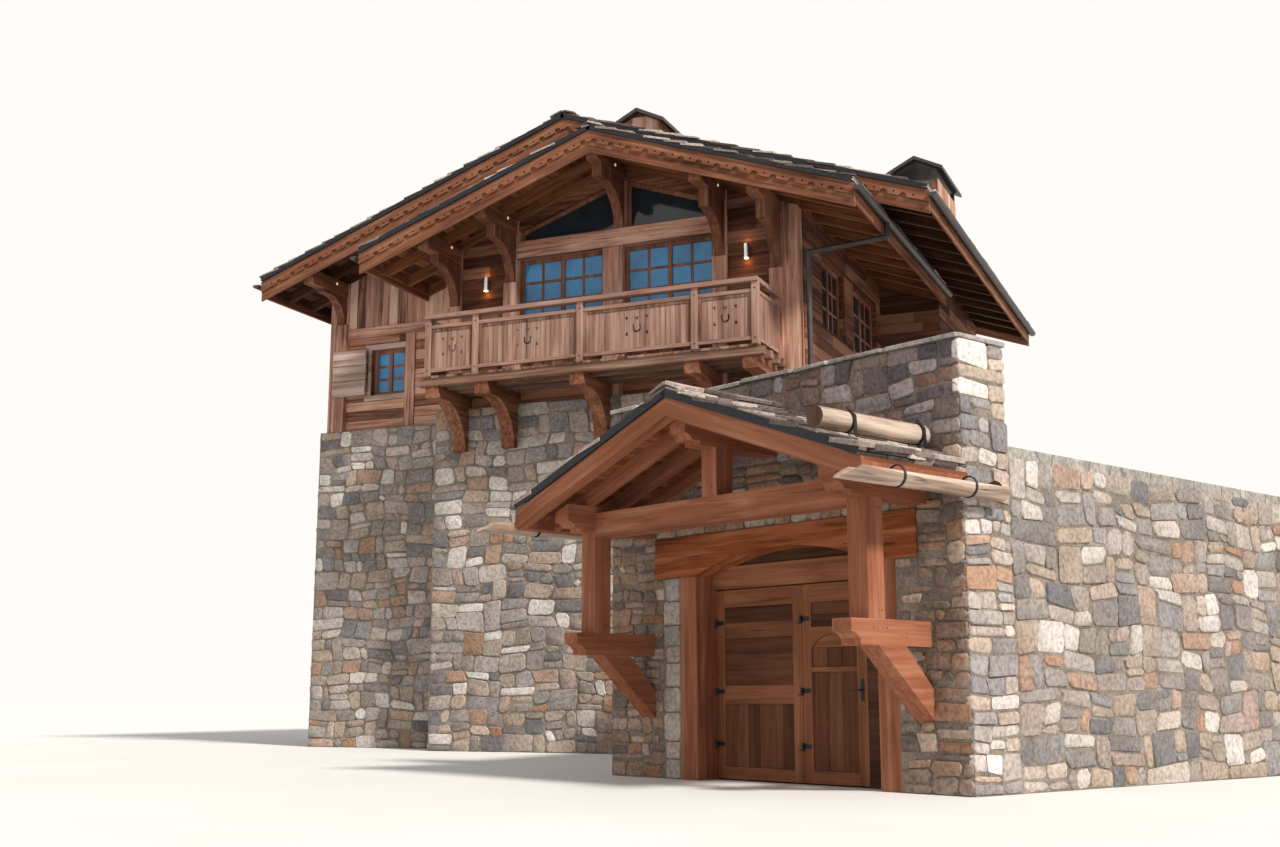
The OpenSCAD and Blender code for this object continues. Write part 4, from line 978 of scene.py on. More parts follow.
@dataclass
class BoardWall:
    """A wall face clad with boards, level or upright, under a level or sloping top.

    Pitch is the usual width of a board, and low and high are the lowest and highest place on the plane.
    """

    plane: Plane
    width: float
    low: float
    high: float
    seed: int
    holes: tuple[Rect, ...] = ()
    gable: GableTop | None = None
    pitch: float = 0.2
    upright: bool = False
    thick: float = 0.02

    # Ranges of a level and of an upright board's width, in pitches.
    LEVEL = (0.88, 1.12)
    UPRIGHT = (0.85, 1.15)
    # Ranges of a level board's length and of how far a row's first board starts outside the wall.
    LENGTH = (2.2, 3.8)
    BEFORE = (0.0, 2.5)
    # Least rest of a wall that gets another level or upright board, and narrowest piece of a board.
    LEVEL_REST = 0.04
    UPRIGHT_REST = 0.03
    NARROWEST = 0.03
    # Gap between boards, shortest level and lowest upright board under a sloping top, and half the
    # width of a pointed board's tip.
    GAP = 0.003
    SHORTEST = 0.05
    LOWEST_BOARD = 0.04
    TIP = 0.004
    # Range of a board's front in shares of its thickness, and its depth behind the plane.
    FRONT = (0.75, 1.0)
    SUNK = 0.01

    def top(self, u: float) -> float:
        """Gives the height of the wall's top at a place along it."""
        return min(self.high, self.gable.top(u)) if self.gable else self.high

    def ends(self, v: float) -> Span:
        """Gives the wall's left and right end at a height, as distances along the wall."""
        left, right = self.gable.ends(v) if self.gable else (0.0, self.width)
        return max(0.0, left), min(self.width, right)

    def level_rows(self, rng: random.Random) -> list[Rect]:
        """Lays out level boards.

        Args:
            rng: Source of chance.

        Returns:
            The boards' rectangles.
        """
        rects: list[Rect] = []
        v = self.low
        while v < self.high - self.LEVEL_REST:
            top = min(v + self.pitch * rng.uniform(*self.LEVEL), self.high)
            u = -rng.uniform(*self.BEFORE)
            while u < self.width:
                end = u + rng.uniform(*self.LENGTH)
                rects.append((max(u, 0.0), min(end, self.width), v, top))
                u = end
            v = top
        return rects

    def upright_rows(self, rng: random.Random) -> list[Rect]:
        """Lays out upright boards.

        Args:
            rng: Source of chance.

        Returns:
            The boards' rectangles.
        """
        rects: list[Rect] = []
        u = 0.0
        while u < self.width - self.UPRIGHT_REST:
            end = min(u + self.pitch * rng.uniform(*self.UPRIGHT), self.width)
            rects.append((u, end, self.low, max(self.top(u), self.top(end))))
            u = end
        return rects

    def corners(self, r: Rect, out: float) -> list[np.ndarray] | None:
        """Gives the corners of a board after the sloping top has trimmed it.

        Args:
            r: The board's rectangle.
            out: How far its face stands out.

        Returns:
            Four points, or None where nothing is left.
        """
        u0, u1, v0, v1 = r[0] + self.GAP / 2, r[1] - self.GAP / 2, r[2] + self.GAP, r[3] - self.GAP
        if self.upright:
            left, right = min(v1, self.top(u0)), min(v1, self.top(u1))
            if min(left, right) - v0 < self.LOWEST_BOARD:
                return None
            spots = [(u0, v0), (u1, v0), (u1, right), (u0, left)]
        else:
            (a0, b0), (a1, b1) = self.ends(v0), self.ends(v1)
            spots = [(max(u0, a0), v0), (min(u1, b0), v0), (min(u1, b1), v1), (max(u0, a1), v1)]
            if spots[1][0] - spots[0][0] < self.SHORTEST:
                return None
            if spots[2][0] < spots[3][0]:
                middle = (spots[2][0] + spots[3][0]) / 2
                spots[2:] = [(middle + self.TIP, v1), (middle - self.TIP, v1)]
        return [self.plane.at(u, v, out) for u, v in spots]

    def build(self, pile: Pile, shape: Shape) -> None:
        """Adds the face's boards to a pile.

        Args:
            pile: The pile that takes the copies.
            shape: Block that each board is a copy of.
        """
        rng = random.Random(self.seed)
        rows = self.upright_rows(rng) if self.upright else self.level_rows(rng)
        for r in cut_all(rows, self.holes, self.NARROWEST):
            c = self.corners(r, self.thick * rng.uniform(*self.FRONT))
            if c is not None:
                pile.lay(shape, c, self.thick + self.SUNK, rng.random())


@dataclass
class SlabSlope:
    """One slope of a roof covered with overlapping stone slabs on a bed.

    Row is the usual distance between rows, slab the range of a slab's width, and caps the stretch along
    the ridge that has a course of its own.
    """

    plane: Plane
    width: float
    length: float
    seed: int
    row: float = 0.34
    slab: Span = (0.32, 0.75)
    thick: float = 0.034
    caps: Span | None = None

    # How far a slab's upper edge and the bed's top lie under the slope, and the bed's foot below it.
    DROP = 0.036
    BED = 0.12
    # Half the joint between slabs, and the thickness of a single course in shares of the usual one.
    GAP = 0.004
    SINGLE = 0.85
    # Upper and lower edge of the courses under the eave, on the slope, and width of the ridge's course.
    EAVE_COURSE = (-0.005, 0.2)
    RIDGE_COURSE = 0.24
    # How far slabs reach over the ridge, and over the row above them.
    OVER_RIDGE = 0.01
    OVERLAP = 0.11
    # Narrowest slab in a single course and in a row, and the least rest of the slope that gets a row.
    LEAST_CAP = 0.07
    LEAST_SLAB = 0.09
    LEAST_ROW = 0.05
    # Ranges of the moves of edges, and of the lift of corners in single courses and in rows.
    EDGE = (-0.02, 0.02)
    FOOT = (0.0, 0.035)
    CAP_LIFT = (-0.004, 0.008)
    SLAB_LIFT = (-0.008, 0.012)
    # Range of a row's height and of a slab's thickness in shares of the usual ones.
    VARY = (0.8, 1.2)

    def short_row(self, pile: Pile, shapes: Sequence[Shape], rng: random.Random, out: float, edges: Span,
                  ends: Span) -> None:
        """Adds a single course of slabs, as under the eave and along the ridge.

        Args:
            pile: The pile that takes the slabs.
            shapes: Slabs to choose from.
            rng: Source of chance.
            out: Height of the slabs' tops over the slope.
            edges: Lower and upper edge on the slope.
            ends: Where the course starts and stops along the slope.
        """
        u = ends[0] - rng.uniform(0.0, 0.2)
        while u < ends[1]:
            end = u + rng.uniform(*self.slab)
            a, b = max(u, ends[0]), min(end, ends[1])
            if b - a > self.LEAST_CAP:
                low, high = (v + rng.uniform(*self.EDGE) for v in edges)
                lift = [out + rng.uniform(*self.CAP_LIFT) for _ in range(4)]
                corners = self.plane.quad((a + self.GAP, b - self.GAP, low, high), lift)
                pile.lay(rng.choice(shapes), corners, self.thick * self.SINGLE, rng.random())
            u = end

    def rows(self, pile: Pile, shapes: Sequence[Shape], rng: random.Random) -> None:
        """Adds the overlapping rows of slabs.

        Args:
            pile: The pile that takes the slabs.
            shapes: Slabs to choose from.
            rng: Source of chance.
        """
        v = 0.0
        while v < self.length - self.LEAST_ROW:
            step = self.row * rng.uniform(*self.VARY)
            top = min(v + step + self.OVERLAP, self.length + self.OVER_RIDGE)
            u = -rng.uniform(0.0, 0.3)
            while u < self.width:
                end = u + rng.uniform(*self.slab)
                a, b = max(u, rng.uniform(*self.EDGE)), min(end, self.width + rng.uniform(*self.EDGE))
                if b - a > self.LEAST_SLAB:
                    low = v - rng.uniform(*self.FOOT)
                    lift = [rng.uniform(*self.SLAB_LIFT) for _ in range(2)] + [-self.DROP] * 2
                    corners = self.plane.quad((a + self.GAP, b - self.GAP, low, top), lift)
                    pile.lay(rng.choice(shapes), corners, self.thick * rng.uniform(*self.VARY), rng.random())
                u = end
            v += step

    def build(self, pile: Pile, beds: Pile, shapes: Sequence[Shape], plain: Shape) -> None:
        """Adds the slope's slabs and its bed to their piles.

        Args:
            pile: Pile of the slabs.
            beds: Pile of the beds.
            shapes: Blocks to choose from.
            plain: Block for the bed.
        """
        rng = random.Random(self.seed)
        for layer in (1, 2):
            self.short_row(pile, shapes, rng, -self.thick * layer, self.EAVE_COURSE, (0.0, self.width))
        if self.caps:
            edges = self.length - self.RIDGE_COURSE, self.length + self.OVER_RIDGE
            self.short_row(pile, shapes, rng, self.thick * self.SINGLE, edges, self.caps)
        bed = (0.0, self.width, 0.01, self.length)
        beds.panel(plain, self.plane, bed, -self.DROP, self.BED - self.DROP, 0.4)
        self.rows(pile, shapes, rng)


@dataclass(frozen=True)
class Gable:
    """A pair of roof slopes: X of its ridge, height there, half its width, and its rise for each metre."""

    ridge: float
    peak: float
    half: float
    slope: float

    def eave_height(self) -> float:
        """Gives the height of the roof's top at its eaves."""
        return self.peak - self.slope * self.half

    def length(self, run: float | None = None) -> float:
        """Gives the length up the slope for a run, or from eave to ridge."""
        return (self.half if run is None else run) * math.hypot(1, self.slope)

    def plane(self, start: float, right: bool, turned: bool = False) -> Plane:
        """Makes the plane of one slope, with v running up to the ridge.

        Args:
            start: Y of the lower corner where the slope starts.
            right: True for the slope that falls towards +X.
            turned: True where the gable is given in the garage's plan.

        Returns:
            The slope's plane.
        """
        c, s = 1 / math.hypot(1, self.slope), self.slope / math.hypot(1, self.slope)
        side = 1.0 if right else -1.0
        corner = (self.ridge + side * self.half, start, self.eave_height())
        along, up = (0.0, side, 0.0), (-side * c, 0.0, s)
        if turned:
            return Plane(garage_point(*corner), garage_way(*along), garage_way(*up))
        return Plane(corner, along, up)


def tinted(stops: Stops, share: Colour) -> Stops:
    """Multiplies the colours of a set of ramp stops by factors of red, green and blue."""
    brightest = 0.9
    return tuple((place, tuple(min(a * b, brightest) for a, b in zip(rgb, share))) for place, rgb in stops)


# Timber tones: dark, middle and light.
RUSSET = ((0.060, 0.022, 0.012), (0.200, 0.078, 0.042), (0.360, 0.170, 0.100))
DIM = ((0.045, 0.016, 0.009), (0.140, 0.056, 0.032), (0.280, 0.135, 0.082))
# Brace tone: timber darkened as painted shade on the braces.
BRACE_SHADE = ((0.048, 0.018, 0.010), (0.160, 0.064, 0.037), (0.300, 0.145, 0.088))
TAWNY = ((0.100, 0.045, 0.030), (0.360, 0.160, 0.098), (0.600, 0.370, 0.270))
AGED = ((0.050, 0.025, 0.018), (0.190, 0.098, 0.066), (0.360, 0.230, 0.170))
# Deepest tone: painted shade under the upper roof's eaves and in the door's recess.
DEEP_SHADE = ((0.020, 0.009, 0.006), (0.062, 0.026, 0.014), (0.130, 0.060, 0.034))
WEATHERED = ((0.080, 0.036, 0.026), (0.450, 0.228, 0.165), (0.680, 0.460, 0.350))
SIENNA = ((0.115, 0.038, 0.020), (0.285, 0.103, 0.054), (0.450, 0.215, 0.130))
ORANGE = ((0.080, 0.023, 0.009), (0.280, 0.074, 0.024), (0.450, 0.175, 0.078))
EMBER = ((0.075, 0.023, 0.010), (0.205, 0.068, 0.028), (0.330, 0.135, 0.062))
ROSY = ((0.110, 0.055, 0.042), (0.320, 0.185, 0.140), (0.500, 0.350, 0.285))
SHADED = ((0.060, 0.020, 0.008), (0.200, 0.075, 0.030), (0.330, 0.150, 0.070))
PALE = ((0.130, 0.080, 0.062), (0.380, 0.262, 0.212), (0.580, 0.455, 0.385))
BLEACHED = ((0.130, 0.085, 0.060), (0.390, 0.285, 0.220), (0.640, 0.535, 0.450))
LOG_END = ((0.030, 0.016, 0.010), (0.120, 0.070, 0.046), (0.230, 0.150, 0.105))
# Door tone: the door's dark brown, darkened further as painted shade in the porch's recess.
DOOR = ((0.045, 0.016, 0.009), (0.130, 0.048, 0.024), (0.230, 0.098, 0.050))
FRAME = ((0.085, 0.030, 0.014), (0.225, 0.085, 0.040), (0.350, 0.155, 0.082))
# Bargeboard tone: lightened as painted sunlight on the lower layer.
SUNLIT_BARGE = ((0.110, 0.050, 0.030), (0.290, 0.145, 0.088), (0.460, 0.270, 0.180))
# Stone shades, each with its place between 0 and 1.
RUBBLE = (
    (0.00, (0.180, 0.175, 0.185)), (0.16, (0.300, 0.265, 0.250)), (0.32, (0.440, 0.350, 0.280)),
    (0.46, (0.280, 0.265, 0.270)), (0.60, (0.540, 0.470, 0.420)), (0.72, (0.390, 0.240, 0.165)),
    (0.84, (0.420, 0.365, 0.340)), (0.94, (0.660, 0.615, 0.580)))
# Lit and shaded copies of the rubble: painted shade with warm bounced light for the garage front under the
# porch, painted shade for the parapet, and painted sunlight for the garage's right corner.
SHADE_AND_BOUNCE_RUBBLE = tinted(RUBBLE, (0.86, 0.72, 0.62))
SHADED_COOL_RUBBLE = tinted(RUBBLE, (0.70, 0.65, 0.70))
SUNLIT_RUBBLE = tinted(RUBBLE, (1.28, 1.28, 1.30))
SLATE = (
    (0.00, (0.070, 0.056, 0.052)), (0.30, (0.180, 0.142, 0.130)), (0.62, (0.340, 0.275, 0.250)),
    (0.90, (0.620, 0.530, 0.485)))
COPING = ((0.00, (0.260, 0.245, 0.235)), (0.50, (0.380, 0.355, 0.330)), (1.00, (0.480, 0.450, 0.420)))
MORTAR = ((0.30, (0.180, 0.150, 0.125)), (0.70, (0.340, 0.290, 0.245)))
# Bed colour: near-black, partly the bed's own colour and partly painted shade under the slab edges.
BED = ((0.00, (0.010, 0.010, 0.015)), (1.00, (0.026, 0.026, 0.034)))
PAVING = ((0.30, (0.300, 0.275, 0.250)), (0.70, (0.440, 0.410, 0.375)))
# Fields that several timbers of the garage share.
IN_GARAGE = {"garage": True, "contrast": 0.8}
PLANED = {"garage": True, "contrast": 0.7, "cracks": 0.35}


class Finishes:
    """All finishes of the chalet, each built once."""

    def __init__(self) -> None:
        """Builds the shared finishes."""
        self.rubble = Masonry("rubble_stone", RUBBLE).material()
        # The next three are the same stone with painted shade, painted shade and painted sunlight.
        self.shade_and_bounce_rubble = Masonry("shade_and_bounce_rubble_stone", SHADE_AND_BOUNCE_RUBBLE).material()
        self.shaded_cool_rubble = Masonry("shaded_cool_rubble_stone", SHADED_COOL_RUBBLE).material()
        self.sunlit_rubble = Masonry("sunlit_rubble_stone", SUNLIT_RUBBLE).material()
        self.mortar = Masonry("mortar", MORTAR, toned=False, speck=40.0).material()
        self.slate = Masonry("roof_slab", SLATE, rough=0.82).material()
        self.bed = Masonry("slab_bed_in_shade", BED, rough=0.6).material()
        self.coping = Masonry("coping_stone", COPING).material()
        self.paving = Masonry("terrace_stone", PAVING, toned=False, flags=1.9).material()
        self.iron = Metal("forged_iron", (0.035, 0.033, 0.035), 0.55, 0.6).material()
        self.zinc = Metal("dark_zinc", (0.080, 0.070, 0.070), 0.48, 0.6).material()
        self.steel = Metal("lamp_steel", (0.72, 0.72, 0.74), 0.28, 1.0).material()
        self.glass = Pane("window_pane").material()
        self.dim_glass = Pane("shaded_pane", (0.020, 0.026, 0.034)).material()
        self.glow = Glow("lamp_glow").material()
        self.spot = Glow("spot_glow", strength=0.5).material()
        self.cache: dict[str, bpy.types.Material] = {}

    def timber(self, name: str, tones: Tones, grain: Grain, **more: object) -> bpy.types.Material:
        """Gives a timber finish, built on its first use.

        Args:
            name: Name of the finish.
            tones: Dark, middle and light colour.
            grain: Direction of the fibres.
            **more: Further fields of the finish.

        Returns:
            The material.
        """
        if name not in self.cache:
            self.cache[name] = Timber(name, *tones, grain=grain, **more).material()
        return self.cache[name]


def paint(node: str, *materials: bpy.types.Material,
          rule: Callable[[Vector, Vector], bool] | None = None) -> None:
    """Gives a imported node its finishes.

    Args:
        node: Name of the node.
        materials: Finishes, the first for all faces that no rule moves.
        rule: Chooses a finish from a face's centre and normal.
    """
    mesh = frame["nodes"][node].data
    mesh.materials.clear()
    for m in materials:
        mesh.materials.append(m)
    for p in mesh.polygons:
        p.material_index = int(rule(p.center, p.normal)) if rule else 0


@dataclass
class StoneWork:
    """The rubble walls of house, terrace and garage, with coping and terrace.

    The house's faces are given by their side, their left end and their width. Left and right are the
    ends of the garage's front wall in the garage's plan.
    """

    finishes: Finishes
    house_faces: tuple[tuple[Facing, float, float, float], ...] = (
        (Facing.FRONT, -3.43, -0.1, 6.86), (Facing.LEFT, -3.43, 0.9, 1.0),
        (Facing.FRONT, -6.65, 0.9, 3.22), (Facing.LEFT, -6.65, 8.5, 7.6),
        (Facing.BACK, 4.6, 8.5, 11.25), (Facing.RIGHT, 4.6, 5.2, 3.3),
        (Facing.FRONT, 3.43, 5.2, 1.17), (Facing.RIGHT, 3.43, -0.1, 5.3))
    left: float = -0.7
    right: float = 4.45
    front_width: float = 5.15
    garage_depth: float = 7.4
    wall_top: float = 3.2
    parapet_top: float = 4.26
    parapet_foot: float = 3.3
    parapet_depth: float = 0.74
    beam_hole: Rect = (0.8, 4.59, 2.22, 2.84)
    door_hole: Rect = (0.93, 4.31, 0.0, 2.84)
    arch_span: Span = (0.1, 3.89)
    arch_course_heights: Span = (2.688, 2.832)
    jamb_course_left: float = 0.235
    jamb_course_right: float = 0.494
    jamb_course_top: float = 2.22
    coping_top: float = 4.333
    coping_ends: Span = (-0.74, 4.49)
    stone_depth: float = 0.07
    joint: float = 0.006

    def build(self) -> None:
        """Builds all stone pieces."""
        shapes = model_blocks(0.013, (0.03, 0.045, 0.06, 0.025, 0.05, 0.035), 0.007, 1, 1)
        near = model_blocks(0.016, (0.016, 0.03, 0.024, 0.038, 0.014, 0.028), 0.007, 2, 7)
        house = Pile("house_rubble")
        for seed, (facing, x, y, width) in enumerate(self.house_faces, 20):
            wall = RubbleWall(house_plane(facing, x, y), width, STONE_TOP, size=0.27, seed=seed)
            wall.build(house, shapes)
        house.make(self.finishes.rubble, "rubble_stone", smooth=SOFT_EDGE)
        self.garage(near)
        self.terrace(shapes)
        self.cap()
        for node in ("garage_piers", "garage_wall_over_door", "terrace_walls", "stone_cross_walls",
                     "stone_side_walls"):
            paint(node, self.finishes.mortar)
        paint("terrace_slab", self.finishes.paving)
        boards = self.finishes.timber("floor_board", WEATHERED, Grain.X, board=0.16, across=Grain.Y)
        paint("floors", boards, self.finishes.paving, rule=lambda c, n: c.z < 1.0)

    def garage(self, shapes: Sequence[Shape]) -> None:
        """Lays the garage front with its quoins and the parapet.

        Args:
            shapes: Blocks to choose from.
        """
        front, parapet, corner = Pile("garage_rubble"), Pile("parapet_rubble"), Pile("corner_rubble")
        crest, wide = self.parapet_top + RubbleWall.proud, self.front_width
        arch_top, arch_band = self.door_hole[3], 0.52
        band_top = 3.36
        # The piers, the band over the arched beam, and the parapet's front.
        at = garage_plane(Facing.FRONT, self.left, 0)
        RubbleWall(at, wide, arch_top, (self.beam_hole, self.door_hole), size=0.17, seed=5, flat=1.5).build(
            front, shapes)
        at = garage_plane(Facing.FRONT, self.left, 0, arch_top)
        RubbleWall(at, wide, arch_band, size=0.16, seed=6, flat=1.7).build(front, shapes)
        at = garage_plane(Facing.FRONT, self.left, 0, band_top)
        RubbleWall(at, wide, crest - band_top, size=0.21, seed=14).build(parapet, shapes)
        self.arch_course(front, shapes)
        self.jamb_course(shapes)
        # The right corner, which the sun lights, then the parapet's left end and its back.
        at = garage_plane(Facing.RIGHT, self.right, -0.02)
        RubbleWall(at, self.parapet_depth, crest, size=0.21, seed=7, flat=1.3).build(corner, shapes)
        rise = crest - self.parapet_foot
        at = garage_plane(Facing.LEFT, self.left, 0.72, self.parapet_foot)
        RubbleWall(at, self.parapet_depth, rise, size=0.22, seed=8).build(parapet, shapes)
        at = garage_plane(Facing.BACK, self.right, 0.7, self.parapet_foot)
        RubbleWall(at, wide, rise, size=0.2, seed=9).build(parapet, shapes)
        # The front gets painted shade with warm bounced light, the parapet painted shade, and the right
        # corner painted sunlight.
        front.make(self.finishes.shade_and_bounce_rubble, "rubble_stone", smooth=SOFT_EDGE)
        parapet.make(self.finishes.shaded_cool_rubble, "rubble_stone", smooth=SOFT_EDGE)
        corner.make(self.finishes.sunlit_rubble, "rubble_stone", smooth=SOFT_EDGE)

    def arch_course(self, pile: Pile, shapes: Sequence[Shape]) -> None:
        """Lays the course of squared stones that rests on the arched beam.

        Args:
            pile: The pile that takes the copies.
            shapes: Blocks to choose from.
        """
        rng, wall = random.Random(15), garage_plane(Facing.FRONT, 0, 0)
        x, last = self.arch_span
        least = 0.05
        while x < last - least:
            end = min(x + rng.uniform(0.13, 0.34), last)
            out = [rng.uniform(0.012, 0.026) for _ in range(4)]
            corners = wall.quad((x + self.joint, end - self.joint, *self.arch_course_heights), out)
            pile.lay(rng.choice(shapes), corners, self.stone_depth, rng.uniform(0.55, 1.0))
            x = end

    def jamb_course(self, shapes: Sequence[Shape]) -> None:
        """Lays the taller pale stones beside the left jamb.

        Args:
            shapes: Blocks to choose from.
        """
        rng, wall, pile = random.Random(16), garage_plane(Facing.FRONT, 0, 0), Pile("jamb_stones")
        z, last = 0.0, self.jamb_course_top
        while z < last - 0.01:
            top = z + rng.uniform(0.15, 0.33)
            top = last if last - top < 0.12 else top
            out = [rng.uniform(0.014, 0.028) for _ in range(4)]
            left = self.jamb_course_left + rng.uniform(0.0, 0.05)
            corners = wall.quad((left, self.jamb_course_right, z + self.joint, top - self.joint), out)
            pile.lay(rng.choice(shapes), corners, self.stone_depth, rng.uniform(0.5, 0.66))
            z = top
        pile.make(self.finishes.rubble, "rubble_stone", smooth=SOFT_EDGE)

    def terrace(self, shapes: Sequence[Shape]) -> None:
        """Lays the walls that carry the terrace.

        Args:
            shapes: Blocks to choose from.
        """
        pile = Pile("terrace_rubble")
        faces = (
            (garage_plane(Facing.RIGHT, self.right, 0.72), 6.68),
            (garage_plane(Facing.BACK, self.right, self.garage_depth), 8.08),
            (house_plane(Facing.LEFT, 2.8787, -0.1), 6.1))
        for seed, (plane, width) in enumerate(faces, 11):
            RubbleWall(plane, width, self.wall_top, size=0.26, seed=seed).build(pile, shapes)
        pile.make(self.finishes.rubble, "rubble_stone", smooth=SOFT_EDGE)

    def cap(self) -> None:
        """Lays the uneven coping flags of the parapet."""
        rng, pile = random.Random(4), Pile("coping_flags")
        flags = model_blocks(0.012, (0.03,) * 4, 0.008, 1, 11)
        (x, last), gap = self.coping_ends, 0.004
        while x < last - 0.04:
            end = min(x + rng.uniform(0.45, 0.85), last)
            if last - end < 0.25:
                end = last
            r = (gap, end - x - gap, rng.uniform(0.0, 0.02), rng.uniform(0.79, 0.81))
            shape = rng.choice(flags)
            lift = [rng.uniform(-0.008, 0.012) for _ in range(4)]
            corners = garage_top(x, -0.055, self.coping_top).quad(r, lift)
            pile.lay(shape, corners, 0.045, rng.random())
            x = end
        pile.panel(flags[0], garage_top(-0.69, 0.01, 4.30), (0, 5.13, 0, 0.68), 0.0, 0.05, 0.0)
        piece = pile.make(self.finishes.coping, "dressed_stone")
        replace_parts(piece, "parapet_coping")


@dataclass
class Roofs:
    """Slab coverings, boards, rafters, bargeboards and gutters of all roofs.

    The lower roof covers the front bay and runs on at its right under the upper one. Fronts are the Y of
    a roof's front edge, and the porch is given in the garage's plan.
    """

    finishes: Finishes
    lower: Gable = Gable(ridge=0.14, peak=10.35, half=4.53, slope=HOUSE_SLOPE)
    upper: Gable = Gable(ridge=-0.85, peak=11.1, half=6.45, slope=HOUSE_SLOPE)
    porch: Gable = Gable(ridge=1.945, peak=4.01, half=2.58, slope=0.36)
    lower_front: float = -1.35
    lower_depth: float = 2.35
    lower_back: float = 1.0
    side_depth: float = 4.3
    side_run: float = 1.34
    upper_front: float = -0.35
    upper_depth: float = 9.75
    upper_back: float = 9.4
    open_ridge: float = 0.93
    porch_depth: float = 1.54
    scalloped: tuple[float, ...] = (-1.32, -0.32, 9.37)

    def slopes(self) -> list[SlabSlope]:
        """Lists the slopes of the two house roofs.

        Returns:
            The slopes.
        """
        lower, upper, near, deep = self.lower, self.upper, self.lower_depth, self.upper_depth
        left_caps, right_caps = (near - self.open_ridge, near), (0.0, self.open_ridge)
        return [
            SlabSlope(lower.plane(self.lower_back, False), near, lower.length(), 31, caps=left_caps),
            SlabSlope(lower.plane(self.lower_front, True), near, lower.length(), 32, caps=right_caps),
            SlabSlope(lower.plane(self.lower_back, True), self.side_depth, lower.length(self.side_run), 33),
            SlabSlope(upper.plane(self.upper_back, False), deep, upper.length(), 34, caps=(0.0, deep)),
            SlabSlope(upper.plane(self.upper_front, True), deep, upper.length(), 35, caps=(0.0, deep))]

    def porch_slopes(self) -> list[SlabSlope]:
        """Lists the slopes of the porch roof.

        Returns:
            The slopes.
        """
        porch, deep = self.porch, self.porch_depth
        sizes = {"row": 0.27, "slab": (0.24, 0.55), "thick": 0.044, "caps": (0.0, deep)}
        return [
            SlabSlope(porch.plane(0.0, False, True), deep, porch.length(), 36, **sizes),
            SlabSlope(porch.plane(-deep, True, True), deep, porch.length(), 37, **sizes)]

    def build(self) -> None:
        """Builds the coverings and paints the roof timbers."""
        shapes = model_blocks(0.007, (0.02,) * 6, 0.007, 1, 21)
        plain = model_block(0.003)
        for name, slopes, node in (("roof_slab_rows", self.slopes(), "roof_slabs"),
                                   ("porch_slab_rows", self.porch_slopes(), "porch_slabs")):
            pile, beds = Pile(name), Pile(name + "_bed")
            for s in slopes:
                s.build(pile, beds, shapes, plain)
            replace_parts(pile.make(self.finishes.slate, "roof_stone"), node)
            beds.make(self.finishes.bed, "roof_stone")
        self.house_timbers()
        self.porch_timbers()
        for node in ("rainwater_goods", "chimney_caps"):
            paint(node, self.finishes.zinc)

    def house_timbers(self) -> None:
        """Paints boards, rafters, purlins, braces and bargeboards of the house."""
        t, ridge = self.finishes.timber, (self.lower.ridge, self.lower.slope)
        boards = {"slope": ridge, "board": 0.19, "across": Grain.X}
        # The upper roof's soffit boards and rafters get the deepest tone, which is painted shade under its
        # eaves.
        paint("roof_decks", t("soffit_board", SHADED, Grain.Y, **boards),
              t("painted_shade_soffit", DEEP_SHADE, Grain.Y, **boards), rule=self.is_upper)
        paint("roof_rafters", t("rafter", SHADED, Grain.X, slope=ridge),
              t("painted_shade_rafter", DEEP_SHADE, Grain.X, slope=ridge), rule=self.is_upper)
        paint("roof_purlins", t("purlin", RUSSET, Grain.Y))
        # The braces' darker tone is painted shade.
        paint("roof_braces", t("brace", BRACE_SHADE, Grain.Z, contrast=0.8))
        # The lower bargeboard layer is lighter as painted sunlight; the scalloped upper layer is darker as
        # painted shade from the slabs.
        paint("bargeboards", t("bargeboard", SUNLIT_BARGE, Grain.X, slope=ridge),
              t("scalloped_board", RUSSET, Grain.X, slope=ridge), rule=self.is_scalloped)
        paint("eave_boards", t("eave_board", RUSSET, Grain.Y))

    def porch_timbers(self) -> None:
        """Paints boards, rafters and edge boards of the porch."""
        t, ridge = self.finishes.timber, (self.porch.ridge, self.porch.slope)
        paint("porch_deck", t("porch_soffit", EMBER, Grain.Y, garage=True, slope=ridge, board=0.17,
                              across=Grain.X, seam=0.4, shift=0.12))
        paint("porch_rafters", t("porch_rafter", SIENNA, Grain.X, slope=ridge, **PLANED))
        paint("porch_edge_boards", t("porch_edge", SIENNA, Grain.X, slope=ridge, **PLANED))

    def is_upper(self, centre: Vector, normal: Vector) -> bool:
        """Tells whether a face belongs to the upper roof."""
        return centre.z + self.lower.slope * abs(centre.x - self.lower.ridge) > self.lower.peak - 0.02

    def is_scalloped(self, centre: Vector, normal: Vector) -> bool:
        """Tells whether a face belongs to the foremost, scalloped layer of a bargeboard."""
        return min(abs(centre.y - y) for y in self.scalloped) < 0.034


class Cladding(Enum):
    """The kinds of boarding, each with the name of its piece."""

    FRONT = "wall_planks"
    SIDE = "side_planks"
    WING = "wing_planks"
    BACK = "back_planks"
    UPRIGHT = "upright_boards"


